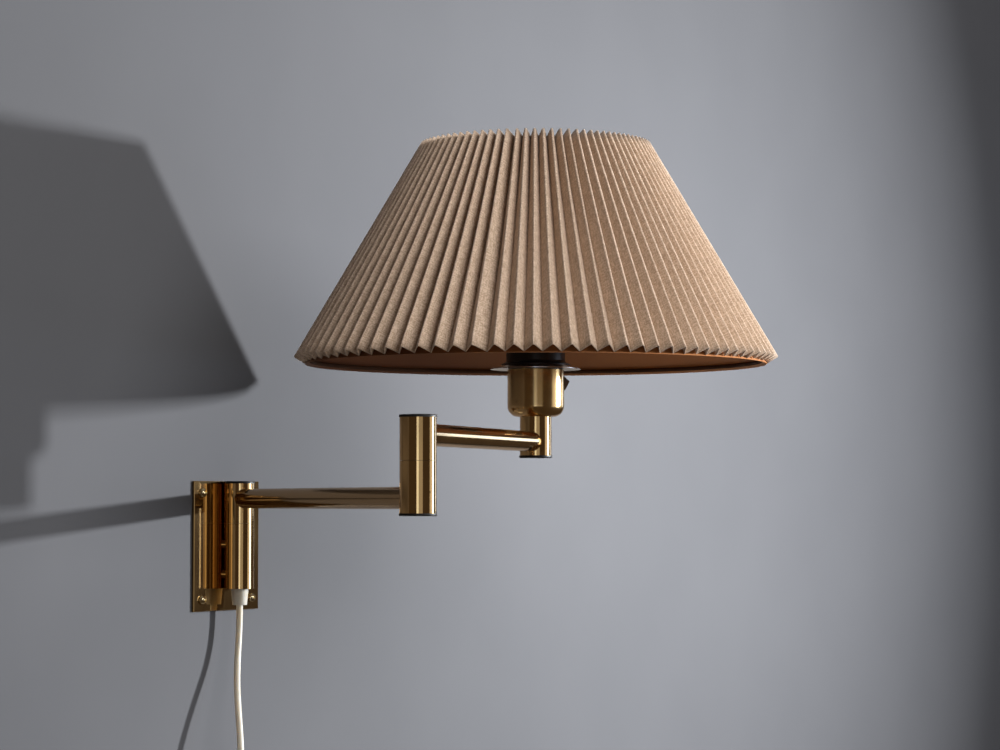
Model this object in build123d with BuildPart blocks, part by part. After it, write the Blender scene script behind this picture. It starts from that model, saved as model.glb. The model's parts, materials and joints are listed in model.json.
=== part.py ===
"""Articulating wall light: a brass bracket with two swinging arms, a switched lampholder and a pleated shade.

Sizes are in millimetres. The origin is the middle of the wall plate's back face, so the wall is the plane
Y = 0, the light stands out towards -Y, +X is right as one faces the wall and +Z is up. Headings are
degrees about +Z from straight out of the wall, positive towards +X.
"""

import os
from math import asin, cos, degrees, dist, hypot, pi, radians, sin, tan

from build123d import *

os.makedirs("parts", exist_ok=True)

# Fits
SEAT_GAP = 0.05  # round a pressed, brazed or screwed seat
RUN_GAP = 0.08  # round a turning fit, and at the end of a sliding one
JOINT_GAP = 0.2  # between the two tubes of a turning joint

# Wall plate and the screws that hold it to the wall
PLATE_WIDTH = 83.0
PLATE_HEIGHT = 100.0
PLATE_THICK = 2.0
PLATE_CHAMFER = 0.4
SCREW_FROM_SIDE = 10.0
SCREW_FROM_END = 9.0
SCREW_SHANK = 4.0
SCREW_NECK = 3.4  # plain part below the head, inside the plate
SCREW_HEAD = 7.0
SCREW_HEAD_TALL = 3.6
SCREW_HEAD_SIDE = 0.8  # straight part below the dome
SCREW_LENGTH = 30.0
SCREW_POINT = 6.0
SCREW_ROOM = 0.25
RECESS_LONG = 3.8
RECESS_WIDE = 1.0
RECESS_DEEP = 1.8

# Fixed tube on the plate, with the spacers and screws that hold it
TUBE_OUT = 14.5  # from the wall to the tube's axis
WALL_TUBE = 22.0
TUBE_WALL = 1.5
WALL_TUBE_BOTTOM = -33.0
SPACER = 9.0
SPACER_SPREAD = 23.0
MACHINE_SCREW = 4.0
MACHINE_HEAD = 7.2
MACHINE_LENGTH = 9.0
FOOT_TALL = 3.0

# Cord grip under the fixed tube
CORD = 5.0
GRIP_TOP = 13.6
GRIP_BOTTOM = 11.2
GRIP_TALL = 12.5
GRIP_NECK = 9.5
GRIP_NECK_TALL = 6.5
GRIP_NUT_FLATS = 13.0
GRIP_NUT_TALL = 2.6
GRIP_ROOM = 0.5  # from the top of its neck to the joint's bush

# Turning joints: the wall joint and the elbow joint share these
STUD = 10.0
STUD_BORE = 6.0
STUD_DEEP = 12.0  # below the joint
STUD_PROUD = 0.5
WASHER_THICK = 1.0
WASHER_ROOM = 0.3
BEARING_TALL = 4.5
SPRING_THICK = 1.0
SPRING_WIDE = 16.0
SPRING_ROOM = 0.3
NUT_FLATS = 14.0
NUT_TALL = 3.0
STOP_PIN = 2.4
STOP_RADIUS = 7.3
STOP_DEEP = 5.0
STOP_PROUD = 2.2
STOP_ROOM = 0.3

# Arms, their posts and the pose
ARM_TUBE = 15.0
ARM_WALL = 1.25
LOWER_ARM = 350.0  # between the axes
UPPER_ARM = 240.0
LOWER_HEADING = -34.0
UPPER_TURN = 135.5  # from the lower arm's own direction
LOWER_SWING = (-90.0, 90.0)  # headings that the wall leaves free
UPPER_SWING = (-150.0, 150.0)  # turns from the lower arm's own direction
WALL_JOINT_Z = 17.5
HUB_TOP = 50.0
LOWER_ARM_Z = 36.5
ELBOW_TUBE = 24.5
ELBOW_BOTTOM = 24.5
ELBOW_JOINT_Z = 61.0
ELBOW_TOP = 91.5
UPPER_ARM_Z = 78.5
POST_TUBE = 23.5
POST_BOTTOM = 66.5
CAP_THICK = 1.8
CAP_LIP = 0.45
CAP_SPIGOT = 5.0
CAP_WALL = 1.5
CAP_ROUND = 0.6
LEAD_HOLE = 9.0
WALL_LEAD_BEND = 8.0
ELBOW_LEAD_BEND = 12.0
UPPER_LEAD_BEND = 6.8
POST_LEAD_BEND = 12.0

# Lampholder
CUP = 42.0
CUP_WALL = 0.8
CUP_ROUND = 8.0
CUP_BOTTOM = 97.0
CUP_TOP = 132.0
NIPPLE = 10.0
NIPPLE_BORE = 6.4
NIPPLE_TALL = 16.0
POST_PLUG_TALL = 9.0
HOLDER_FLOOR = 111.0
HOLDER_FLOOR_THICK = 3.5
HOLDER_BARREL = 34.4
HOLDER_FLANGE_THICK = 2.2
HOLDER_FLANGE_IN = 0.6  # short of the cup's side, all round
HOLDER_SPIGOT = 1.2
SLEEVE = 39.0
SLEEVE_TALL = 25.0
SHELL = 27.4
SHELL_WALL = 0.4
SHELL_TALL = 29.0
CONTACT_WIDE = 6.0
CONTACT_THICK = 0.6
CONTACT_RISE = 3.0
WIRE_HOLE = 5.4

# Rocker switch in the side of the cup
SWITCH_FROM_ARM = -61.5  # heading, from the upper arm's own
SWITCH_Z = 122.0
SWITCH_PIVOT = 17.6  # from the lamp's axis
SWITCH_PIN = 2.0
ROCKER_WIDE = 6.4
ROCKER_HALF = 5.6
ROCKER_APEX = 7.6  # from its pivot
ROCKER_FACE = 3.2  # from its pivot to the foot of its two faces
ROCKER_SIDE = 2.0  # length of its two ends
ROCKER_TAIL = 1.1
ROCKER_TAIL_HALF = 1.8
ROCKER_ROUND = 0.5
ROCKER_TILT = 10.0  # either way from level
ROCKER_ROOM = 0.3
ROCKER_END_ROOM = 0.9  # in the cup's slot, above and below
HOUSING_BACK = 15.0  # from the lamp's axis
HOUSING_FRONT = 19.2
HOUSING_WALL = 1.0

# Shade carrier and ring
DISC = 67.0
DISC_FLAT = 53.0
DISC_DROP = 2.0  # from the flat middle to the rim
DISC_THICK = 0.8
DISC_ROOM = 0.1
RING_FLANGE = 51.5
RING_FLANGE_THICK = 0.9
RING_SLOPE = 2.8
RING_HOLLOW = 1.2  # of the flare, in from a straight slope
RING_NECK = 43.8
RING_TALL = 12.5
CARRIER_RING = 60.0
CARRIER_RING_THICK = 1.2
CARRIER_HUB = 46.0
CARRIER_HUB_TALL = 6.0
CARRIER_WIRE = 2.5
CARRIER_FOOT = 27.5  # from the lamp's axis
CARRIER_FOOT_TALL = 10.0
CARRIER_TOP_RUN = 30.0
CARRIER_BEND = 15.0
CARRIER_ARMS = 3
CARRIER_FROM_ARM = 78.5  # heading of the first wire, from the upper arm's own

# Shade
RIDGE_BOTTOM_R = 179.3
RIDGE_BOTTOM_Z = 141.0
RIDGE_TOP_R = 85.3
RIDGE_TOP_Z = 301.0
PLEATS = 86
PLEAT_DEEP_BOTTOM = 8.5  # square to the slope
PLEAT_DEEP_TOP = 9.5
SHEET = 1.0  # square to the slope, so about half of that through a pleat's side
LINER_THICK = 0.5
LINER_GAP = 0.2
LINER_SHOWS = 0.4  # below the pleats' valleys
RING_WIRE = 3.0
RING_FROM_EDGE = 4.0
RING_GAP = 0.15

# Bulb
BULB_CAP = 26.2
BULB_CAP_TALL = 24.0
BULB_TIP = 8.0
BULB_TIP_TALL = 4.0
BULB_NECK = 27.0
BULB_GLOBE = 60.0
BULB_TALL = 104.0
BULB_GLASS = 0.9
BULB_SHOULDER = -30.0  # degrees below the globe's middle where the neck's curve meets it

# Mains cord: the free stretch, then the coil, its tie and the plug
CORD_ARC_SHARE = 0.45  # of the shorter run that a bend takes up
CORD_ROUTE = [
    (0.0, -14.5, -45.5),
    (0.0, -14.5, -62.0),
    (-5.2, -16.4, -87.0),
    (-13.4, -22.2, -110.0),
    (-19.8, -29.2, -134.0),
    (-24.2, -34.6, -157.0),
    (-26.6, -34.4, -177.0),
    (-27.0, -30.4, -193.0),
    (-27.0, -30.4, -202.0),
]
TURN_PITCH = 5.6  # from one turn or layer to the next
COIL_OUTER = 33.1  # radius of a layer's widest half turn
COIL_HALF_TURNS = 4  # in each layer, before the half turn that climbs
COIL_LAYERS = 4
COIL_LAST = 41.0  # radius of the last half turn, which leads to the plug
COIL_END = 6.0
TIE_WIDE = 5.0
TIE_THICK = 1.2
TIE_ROOM = 1.0
PLUG_WIDE = 26.0
PLUG_THICK = 13.7
PLUG_TALL = 34.0
PLUG_TAPER = 18.0
PLUG_SLEEVE = 11.0
PLUG_SLEEVE_END = 8.0
PLUG_SLEEVE_TALL = 20.0
PLUG_ROUND = 3.0
PIN = 4.0
PIN_LONG = 19.0
PIN_SPREAD = 19.0
PIN_ROUND = 1.5

# Sizes that follow
SCREW_PITCH_X = PLATE_WIDTH - 2 * SCREW_FROM_SIDE
SCREW_PITCH_Z = PLATE_HEIGHT - 2 * SCREW_FROM_END
WALL_BORE = WALL_TUBE - 2 * TUBE_WALL
ELBOW_BORE = ELBOW_TUBE - 2 * TUBE_WALL
POST_BORE = POST_TUBE - 2 * TUBE_WALL
ARM_BORE = ARM_TUBE - 2 * ARM_WALL
WALL_SOCKET_BOTTOM = WALL_TUBE_BOTTOM + GRIP_NECK_TALL + GRIP_ROOM
WALL_SOCKET_TALL = WALL_JOINT_Z - WALL_SOCKET_BOTTOM
SPACER_LOW = WALL_SOCKET_BOTTOM + MACHINE_SCREW
ELBOW_SOCKET_TALL = STUD_DEEP
DISC_BOTTOM = CUP_TOP + HOLDER_FLANGE_THICK
DISC_TOP = DISC_BOTTOM + DISC_THICK
RING_TOP = DISC_TOP + RING_TALL
CARRIER_RING_TOP = RING_TOP + CARRIER_RING_THICK
CONTACT_TOP = HOLDER_FLOOR + HOLDER_FLOOR_THICK + CONTACT_RISE
BULB_BOTTOM = CONTACT_TOP + RUN_GAP
UP = Vector(0, 0, 1)


# Frames


def heading_frame(point, heading):
    """An upright frame on the vertical axis through a point, with X along a heading."""
    along = (sin(radians(heading)), -cos(radians(heading)), 0)
    return Plane(origin=(point[0], point[1], 0), x_dir=along, z_dir=(0, 0, 1))


def beyond(frame, distance):
    """The point on a frame's X axis at a distance from its axis."""
    place = frame.origin + frame.x_dir * distance
    return place.X, place.Y


def profile_plane(frame):
    """The upright plane of a frame's axis and X, in which a point is (radius, height)."""
    return Plane(origin=frame.origin, x_dir=frame.x_dir, z_dir=frame.x_dir.cross(UP))


def across(frame, height):
    """The plane square to a frame's X axis, centred at a height on the frame's axis."""
    return Plane(origin=frame.origin + UP * height, x_dir=frame.y_dir, z_dir=frame.x_dir)


def axis_of(frame):
    return Axis(frame.origin, UP)


UPPER_HEADING = LOWER_HEADING + UPPER_TURN
bracket = heading_frame((0, -TUBE_OUT), 0)
hub = heading_frame((0, -TUBE_OUT), LOWER_HEADING)
elbow_seat = heading_frame(beyond(hub, LOWER_ARM), LOWER_HEADING)
elbow = heading_frame(beyond(hub, LOWER_ARM), UPPER_HEADING)
lamp = heading_frame(beyond(elbow, UPPER_ARM), UPPER_HEADING)
switch = heading_frame(beyond(elbow, UPPER_ARM), UPPER_HEADING + SWITCH_FROM_ARM)
BACK = Plane(origin=(0, 0, 0), x_dir=(-1, 0, 0), z_dir=(0, 1, 0))
FRONT = Plane(origin=(0, -PLATE_THICK, 0), x_dir=(1, 0, 0), z_dir=(0, -1, 0))


def save(part, name):
    part.label = name
    export_step(part, f"parts/{name}.step")


# Shapes that more than one piece has


def tube(frame, outer, inner, bottom, top):
    with BuildPart() as piece:
        with BuildSketch(frame.offset(bottom)):
            Circle(outer / 2)
            Circle(inner / 2, mode=Mode.SUBTRACT)
        extrude(amount=top - bottom)
    return piece.part


def turned(frame, outline):
    """A piece turned about a frame's axis from its (radius, height) corners."""
    with BuildPart() as piece:
        with BuildSketch(profile_plane(frame)):
            with BuildLine():
                Polyline(*outline, close=True)
            make_face()
        revolve(axis=axis_of(frame))
    return piece.part


def hex_nut(frame, flats, bore, bottom, tall):
    with BuildPart() as nut:
        with BuildSketch(frame.offset(bottom)):
            RegularPolygon(flats / 2, 6, major_radius=False)
            Circle(bore / 2, mode=Mode.SUBTRACT)
        extrude(amount=tall)
    return nut.part


def end_cap(frame, outer, bore, seat, upward):
    """A moulded cap on a tube's end: a thin head on the rim and a hollow spigot inside the tube."""
    head = CAP_THICK if upward else -CAP_THICK
    spigot = -CAP_SPIGOT if upward else CAP_SPIGOT
    with BuildPart() as cap:
        with BuildSketch(frame.offset(seat)):
            Circle(outer / 2 + CAP_LIP)
        extrude(amount=head)
        rim = cap.edges().filter_by(GeomType.CIRCLE)
        fillet(rim.sort_by(Axis.Z)[-1] if upward else rim.sort_by(Axis.Z)[0], CAP_ROUND)
        with BuildSketch(frame.offset(seat)):
            Circle(bore / 2 - SEAT_GAP)
            Circle(bore / 2 - SEAT_GAP - CAP_WALL, mode=Mode.SUBTRACT)
        extrude(amount=spigot)
    return cap.part


def arm_tube(near, far, height, near_post, far_post):
    """An arm between two posts, its ends cut to saddles that sit on them."""
    with BuildPart() as arm:
        with BuildSketch(across(near, height)):
            Circle(ARM_TUBE / 2)
            Circle(ARM_BORE / 2, mode=Mode.SUBTRACT)
        extrude(amount=(far.origin - near.origin).length)
        with BuildSketch(near.offset(height - ARM_TUBE)):
            Circle(near_post / 2 + SEAT_GAP)
        extrude(amount=2 * ARM_TUBE, mode=Mode.SUBTRACT)
        with BuildSketch(far.offset(height - ARM_TUBE)):
            Circle(far_post / 2 + SEAT_GAP)
        extrude(amount=2 * ARM_TUBE, mode=Mode.SUBTRACT)
    return arm.part


def post_tube(frame, outer, bore, bottom, top, hole_z, away):
    """An upright tube with a hole for the lead on the side that its arm is on."""
    reach = -outer if away else outer
    with BuildPart() as post:
        with BuildSketch(frame.offset(bottom)):
            Circle(outer / 2)
            Circle(bore / 2, mode=Mode.SUBTRACT)
        extrude(amount=top - bottom)
        with BuildSketch(across(frame, hole_z)):
            Circle(LEAD_HOLE / 2)
        extrude(amount=reach, mode=Mode.SUBTRACT)
    return post.part


def lead(frame, corners, bends):
    """A lead inside the tubes, through (distance, height) corners."""
    with BuildPart() as run:
        with BuildLine(profile_plane(frame)) as path:
            FilletPolyline(*corners, radius=bends)
        with BuildSketch(Plane(origin=path.wire() @ 0, z_dir=path.wire() % 0)):
            Circle(CORD / 2)
        sweep(path=path.wire())
    return run.part


# Turning joint: heights are measured from the joint, the line where its two tubes meet

BEARING_BOTTOM = WASHER_THICK / 2 + RUN_GAP
SPRING_BOTTOM = BEARING_BOTTOM + BEARING_TALL + RUN_GAP
NUT_BOTTOM = SPRING_BOTTOM + SPRING_THICK
STUD_TOP = NUT_BOTTOM + NUT_TALL + STUD_PROUD


def pivot_stud(frame, joint):
    return tube(frame, STUD, STUD_BORE, joint - STUD_DEEP, joint + STUD_TOP)


def friction_washer(frame, joint, bore):
    with BuildPart() as washer:
        with BuildSketch(frame.offset(joint - WASHER_THICK / 2)):
            Circle(bore / 2 - WASHER_ROOM)
            Circle(STUD / 2 + RUN_GAP, mode=Mode.SUBTRACT)
            with Locations((STOP_RADIUS, 0)):
                Circle(STOP_PIN / 2 + SEAT_GAP, mode=Mode.SUBTRACT)
        extrude(amount=WASHER_THICK)
    return washer.part


def stop_pin(frame, joint):
    with BuildPart() as pin:
        with BuildSketch(frame.offset(joint - WASHER_THICK / 2 - STOP_DEEP)):
            with Locations((STOP_RADIUS, 0)):
                Circle(STOP_PIN / 2)
        extrude(amount=STOP_DEEP + WASHER_THICK + STOP_PROUD)
    return pin.part


def pivot_bearing(frame, joint, bore, swing):
    """The turning bush: the stop pin runs in a groove under it, whose ends are the swing's limits."""
    with BuildPart() as bearing:
        with BuildSketch(frame.offset(joint + BEARING_BOTTOM)):
            Circle(bore / 2 - SEAT_GAP)
            Circle(STUD / 2 + RUN_GAP, mode=Mode.SUBTRACT)
        extrude(amount=BEARING_TALL)
        with BuildSketch(frame.offset(joint + BEARING_BOTTOM)):
            with BuildLine():
                groove = CenterArc((0, 0), STOP_RADIUS, -swing[1], swing[1] - swing[0])
            SlotArc(groove, STOP_PIN + 2 * STOP_ROOM)
        extrude(amount=STOP_PROUD + STOP_ROOM, mode=Mode.SUBTRACT)
    return bearing.part


def spring_washer(frame, joint):
    return tube(frame, SPRING_WIDE, STUD + 2 * SPRING_ROOM, joint + SPRING_BOTTOM, joint + NUT_BOTTOM)


def pivot_nut(frame, joint):
    return hex_nut(frame, NUT_FLATS, STUD + 2 * SEAT_GAP, joint + NUT_BOTTOM, NUT_TALL)


def socket_outline(bore, joint, tall):
    """Corners of the fixed bush: the stud stands on a step, and the lead passes below it."""
    top = joint - WASHER_THICK / 2
    step = joint - STUD_DEEP
    rim = bore / 2 - SEAT_GAP
    throat = STUD_BORE / 2 + SEAT_GAP
    seat = STUD / 2 + SEAT_GAP
    bottom = joint - tall
    if step - bottom < RUN_GAP:
        return [(seat, bottom), (rim, bottom), (rim, top), (seat, top)]
    return [(throat, bottom), (rim, bottom), (rim, top), (seat, top), (seat, step), (throat, step)]


def pivot_socket(frame, joint, bore, tall, screw_heights):
    with BuildPart() as socket:
        with BuildSketch(profile_plane(frame)):
            with BuildLine():
                Polyline(*socket_outline(bore, joint, tall), close=True)
            make_face()
        revolve(axis=axis_of(frame))
        with BuildSketch(frame.offset(joint - WASHER_THICK / 2)):
            with Locations((STOP_RADIUS, 0)):
                Circle(STOP_PIN / 2 + SEAT_GAP)
        extrude(amount=-STOP_DEEP, mode=Mode.SUBTRACT)
        for height in screw_heights:
            with BuildSketch(across(frame, height)):
                Circle(MACHINE_SCREW / 2 + SEAT_GAP)
            extrude(amount=-bore / 2, mode=Mode.SUBTRACT)
    return socket.part


# Wall plate

spacer_heights = (SPACER_LOW + SPACER_SPREAD, SPACER_LOW)

with BuildPart() as wall_plate:
    with BuildSketch(BACK):
        Rectangle(PLATE_WIDTH, PLATE_HEIGHT)
    extrude(amount=-PLATE_THICK)
    chamfer(wall_plate.faces().sort_by(Axis.Y)[0].edges(), PLATE_CHAMFER)
    with BuildSketch(BACK):
        with GridLocations(SCREW_PITCH_X, SCREW_PITCH_Z, 2, 2):
            Circle(SCREW_SHANK / 2 + SCREW_ROOM)
    extrude(amount=-PLATE_THICK, mode=Mode.SUBTRACT)
    with Locations(*[BACK * Location((0, height)) for height in spacer_heights]):
        CounterSinkHole(MACHINE_SCREW / 2 + SEAT_GAP, MACHINE_HEAD / 2 + SEAT_GAP)
save(wall_plate.part, "wall_plate")

# Wall screws: a domed head with a cross recess, and a pointed shank that goes into the wall

dome_rise = SCREW_HEAD_TALL - SCREW_HEAD_SIDE
dome_radius = ((SCREW_HEAD / 2) ** 2 + dome_rise**2) / (2 * dome_rise)
dome_turn = degrees(asin(SCREW_HEAD / 2 / dome_radius))

with BuildPart() as wall_screw:
    with BuildSketch(Plane.XZ):
        with BuildLine():
            Line((0, PLATE_THICK - SCREW_LENGTH), (0, PLATE_THICK + SCREW_HEAD_TALL))
            head_side = (SCREW_HEAD / 2, PLATE_THICK + SCREW_HEAD_SIDE)
            JernArc((0, PLATE_THICK + SCREW_HEAD_TALL), (1, 0), dome_radius, -dome_turn)
            Polyline(
                head_side,
                (SCREW_HEAD / 2, PLATE_THICK),
                (SCREW_NECK / 2, PLATE_THICK),
                (SCREW_NECK / 2, 0),
                (SCREW_SHANK / 2, 0),
                (SCREW_SHANK / 2, PLATE_THICK - SCREW_LENGTH + SCREW_POINT),
                (0, PLATE_THICK - SCREW_LENGTH),
            )
        make_face()
    revolve(axis=Axis.Z)
    with BuildSketch(Plane.XY.offset(PLATE_THICK + SCREW_HEAD_TALL)):
        Rectangle(RECESS_LONG, RECESS_WIDE)
        Rectangle(RECESS_WIDE, RECESS_LONG)
    extrude(amount=-RECESS_DEEP, mode=Mode.SUBTRACT)

with BuildPart(Plane.XZ) as wall_screws:
    with GridLocations(SCREW_PITCH_X, SCREW_PITCH_Z, 2, 2):
        add(wall_screw.part)
save(wall_screws.part, "wall_screws")

# Fixed tube, its two spacers and the machine screws that pull it to the plate from behind

with BuildPart() as bracket_spacers:
    with BuildSketch(FRONT):
        with Locations(*[(0, height) for height in spacer_heights]):
            Circle(SPACER / 2)
            Circle(MACHINE_SCREW / 2 + SEAT_GAP, mode=Mode.SUBTRACT)
    extrude(amount=TUBE_OUT - PLATE_THICK)
    with BuildSketch(bracket.offset(WALL_TUBE_BOTTOM)):
        Circle(WALL_TUBE / 2 + SEAT_GAP)
    extrude(amount=WALL_JOINT_Z - WALL_TUBE_BOTTOM, mode=Mode.SUBTRACT)
save(bracket_spacers.part, "bracket_spacers")

with BuildPart() as bracket_tube:
    with BuildSketch(bracket.offset(WALL_TUBE_BOTTOM)):
        Circle(WALL_TUBE / 2)
        Circle(WALL_BORE / 2, mode=Mode.SUBTRACT)
    extrude(amount=WALL_JOINT_Z - JOINT_GAP / 2 - WALL_TUBE_BOTTOM)
    with BuildSketch(BACK):
        with Locations(*[(0, height) for height in spacer_heights]):
            Circle(MACHINE_SCREW / 2 + SEAT_GAP)
    extrude(amount=-TUBE_OUT, mode=Mode.SUBTRACT)
save(bracket_tube.part, "bracket_tube")

with BuildPart() as machine_screw:
    head_deep = (MACHINE_HEAD - MACHINE_SCREW) / 2
    with BuildSketch(Plane.XZ):
        with BuildLine():
            Polyline(
                (0, 0),
                (MACHINE_HEAD / 2, 0),
                (MACHINE_SCREW / 2, -head_deep),
                (MACHINE_SCREW / 2, -MACHINE_LENGTH),
                (0, -MACHINE_LENGTH),
                close=True,
            )
        make_face()
    revolve(axis=Axis.Z)
    with BuildSketch():
        Rectangle(RECESS_LONG, RECESS_WIDE)
        Rectangle(RECESS_WIDE, RECESS_LONG)
    extrude(amount=-RECESS_DEEP, mode=Mode.SUBTRACT)

with BuildPart(BACK) as bracket_screws:
    with Locations(*[(0, height) for height in spacer_heights]):
        add(machine_screw.part)
save(bracket_screws.part, "bracket_screws")

bracket_foot = tube(
    bracket,
    WALL_BORE - 2 * SEAT_GAP,
    GRIP_NECK + 2 * SEAT_GAP,
    WALL_TUBE_BOTTOM,
    WALL_TUBE_BOTTOM + FOOT_TALL,
)
save(bracket_foot, "bracket_foot")

# Cord grip: a tapered bush under the tube, with a neck that a nut holds inside it

GRIP_END = WALL_TUBE_BOTTOM - GRIP_TALL
cord_hole = CORD / 2 + SEAT_GAP
cord_grip = turned(
    bracket,
    [
        (cord_hole, GRIP_END),
        (GRIP_BOTTOM / 2, GRIP_END),
        (GRIP_TOP / 2, WALL_TUBE_BOTTOM),
        (GRIP_NECK / 2, WALL_TUBE_BOTTOM),
        (GRIP_NECK / 2, WALL_TUBE_BOTTOM + GRIP_NECK_TALL),
        (cord_hole, WALL_TUBE_BOTTOM + GRIP_NECK_TALL),
    ],
)
save(cord_grip, "cord_grip")

grip_nut = hex_nut(
    bracket,
    GRIP_NUT_FLATS,
    GRIP_NECK + 2 * SEAT_GAP,
    WALL_TUBE_BOTTOM + FOOT_TALL,
    GRIP_NUT_TALL,
)
save(grip_nut, "grip_nut")

# Wall joint: all but its bearing stay with the plate

save(
    pivot_socket(bracket, WALL_JOINT_Z, WALL_BORE, WALL_SOCKET_TALL, spacer_heights),
    "wall_pivot_socket",
)
save(pivot_stud(bracket, WALL_JOINT_Z), "wall_pivot_stud")
save(friction_washer(bracket, WALL_JOINT_Z, WALL_BORE), "wall_pivot_washer")
save(stop_pin(bracket, WALL_JOINT_Z), "wall_stop_pin")
save(pivot_bearing(hub, WALL_JOINT_Z, WALL_BORE, LOWER_SWING), "wall_pivot_bearing")
save(spring_washer(bracket, WALL_JOINT_Z), "wall_pivot_spring")
save(pivot_nut(bracket, WALL_JOINT_Z), "wall_pivot_nut")

# Lower arm with the hub at the wall and the lower half of the elbow

hub_tube = post_tube(
    hub,
    WALL_TUBE,
    WALL_BORE,
    WALL_JOINT_Z + JOINT_GAP / 2,
    HUB_TOP - CAP_THICK,
    LOWER_ARM_Z,
    away=False,
)
save(hub_tube, "hub_tube")
save(end_cap(hub, WALL_TUBE, WALL_BORE, HUB_TOP - CAP_THICK, upward=True), "hub_cap")
save(arm_tube(hub, elbow_seat, LOWER_ARM_Z, WALL_TUBE, ELBOW_TUBE), "lower_arm_tube")

elbow_lower_tube = post_tube(
    elbow_seat,
    ELBOW_TUBE,
    ELBOW_BORE,
    ELBOW_BOTTOM + CAP_THICK,
    ELBOW_JOINT_Z - JOINT_GAP / 2,
    LOWER_ARM_Z,
    away=True,
)
save(elbow_lower_tube, "elbow_lower_tube")
save(
    end_cap(elbow_seat, ELBOW_TUBE, ELBOW_BORE, ELBOW_BOTTOM + CAP_THICK, upward=False),
    "elbow_lower_cap",
)

# Elbow joint: all but its bearing stay with the lower arm

save(
    pivot_socket(elbow_seat, ELBOW_JOINT_Z, ELBOW_BORE, ELBOW_SOCKET_TALL, ()),
    "elbow_pivot_socket",
)
save(pivot_stud(elbow_seat, ELBOW_JOINT_Z), "elbow_pivot_stud")
save(friction_washer(elbow_seat, ELBOW_JOINT_Z, ELBOW_BORE), "elbow_pivot_washer")
save(stop_pin(elbow_seat, ELBOW_JOINT_Z), "elbow_stop_pin")
save(pivot_bearing(elbow, ELBOW_JOINT_Z, ELBOW_BORE, UPPER_SWING), "elbow_pivot_bearing")
save(spring_washer(elbow_seat, ELBOW_JOINT_Z), "elbow_pivot_spring")
save(pivot_nut(elbow_seat, ELBOW_JOINT_Z), "elbow_pivot_nut")

# Upper arm with the upper half of the elbow and the post under the lamp

elbow_upper_tube = post_tube(
    elbow,
    ELBOW_TUBE,
    ELBOW_BORE,
    ELBOW_JOINT_Z + JOINT_GAP / 2,
    ELBOW_TOP - CAP_THICK,
    UPPER_ARM_Z,
    away=False,
)
save(elbow_upper_tube, "elbow_upper_tube")
save(
    end_cap(elbow, ELBOW_TUBE, ELBOW_BORE, ELBOW_TOP - CAP_THICK, upward=True),
    "elbow_upper_cap",
)
save(arm_tube(elbow, lamp, UPPER_ARM_Z, ELBOW_TUBE, POST_TUBE), "upper_arm_tube")

lamp_post = post_tube(
    lamp,
    POST_TUBE,
    POST_BORE,
    POST_BOTTOM + CAP_THICK,
    CUP_BOTTOM,
    UPPER_ARM_Z,
    away=True,
)
save(lamp_post, "lamp_post")
save(
    end_cap(lamp, POST_TUBE, POST_BORE, POST_BOTTOM + CAP_THICK, upward=False),
    "lamp_post_cap",
)
post_plug = tube(
    lamp,
    POST_BORE - 2 * SEAT_GAP,
    NIPPLE + 2 * SEAT_GAP,
    CUP_BOTTOM - POST_PLUG_TALL,
    CUP_BOTTOM,
)
save(post_plug, "lamp_post_plug")

# Leads inside the tubes: each joint's lead comes up through its stud and goes on from the stud's top

WALL_STUD_TOP = WALL_JOINT_Z + STUD_TOP
ELBOW_STUD_TOP = ELBOW_JOINT_Z + STUD_TOP

with BuildPart() as bracket_lead:
    with BuildSketch(bracket.offset(GRIP_END)):
        Circle(CORD / 2)
    extrude(amount=WALL_STUD_TOP - GRIP_END)
save(bracket_lead.part, "bracket_lead")

lower_arm_lead = lead(
    hub,
    [
        (0, WALL_STUD_TOP + RUN_GAP),
        (0, LOWER_ARM_Z),
        (LOWER_ARM, LOWER_ARM_Z),
        (LOWER_ARM, ELBOW_STUD_TOP),
    ],
    [WALL_LEAD_BEND, ELBOW_LEAD_BEND],
)
save(lower_arm_lead, "lower_arm_lead")

upper_arm_lead = lead(
    elbow,
    [
        (0, ELBOW_STUD_TOP + RUN_GAP),
        (0, UPPER_ARM_Z),
        (UPPER_ARM, UPPER_ARM_Z),
        (UPPER_ARM, HOLDER_FLOOR),
    ],
    [UPPER_LEAD_BEND, POST_LEAD_BEND],
)
save(upper_arm_lead, "upper_arm_lead")

# Lampholder: a spun cup on a hollow nipple, with the moulded holder body standing in it

nipple_bottom = CUP_BOTTOM - POST_PLUG_TALL
save(
    tube(lamp, NIPPLE, NIPPLE_BORE, nipple_bottom, nipple_bottom + NIPPLE_TALL),
    "holder_nipple",
)
save(
    hex_nut(lamp, NUT_FLATS, NIPPLE + 2 * SEAT_GAP, CUP_BOTTOM + CUP_WALL, NUT_TALL),
    "holder_nut",
)

slot_wide = ROCKER_WIDE + 2 * ROCKER_ROOM
slot_half = ROCKER_HALF + ROCKER_END_ROOM
switch_face = across(switch, SWITCH_Z)

with BuildPart() as lampholder_cup:
    with BuildSketch(lamp.offset(CUP_BOTTOM)):
        Circle(CUP / 2)
    extrude(amount=CUP_TOP - CUP_BOTTOM)
    fillet(lampholder_cup.edges().group_by(Axis.Z)[0], CUP_ROUND)
    offset(amount=-CUP_WALL, openings=lampholder_cup.faces().sort_by(Axis.Z)[-1])
    with BuildSketch(lamp.offset(CUP_BOTTOM)):
        Circle(NIPPLE / 2 + SEAT_GAP)
    extrude(amount=CUP_ROUND, mode=Mode.SUBTRACT)
    with BuildSketch(switch_face):
        Rectangle(slot_wide, 2 * slot_half)
    extrude(amount=CUP, mode=Mode.SUBTRACT)
save(lampholder_cup.part, "lampholder_cup")

cavity_half = slot_half - ROCKER_ROOM
housing_half = cavity_half + HOUSING_WALL
housing_wide = slot_wide + 2 * HOUSING_WALL + 2 * ROCKER_ROOM
shell_bottom = HOLDER_FLOOR + HOLDER_FLOOR_THICK

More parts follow.
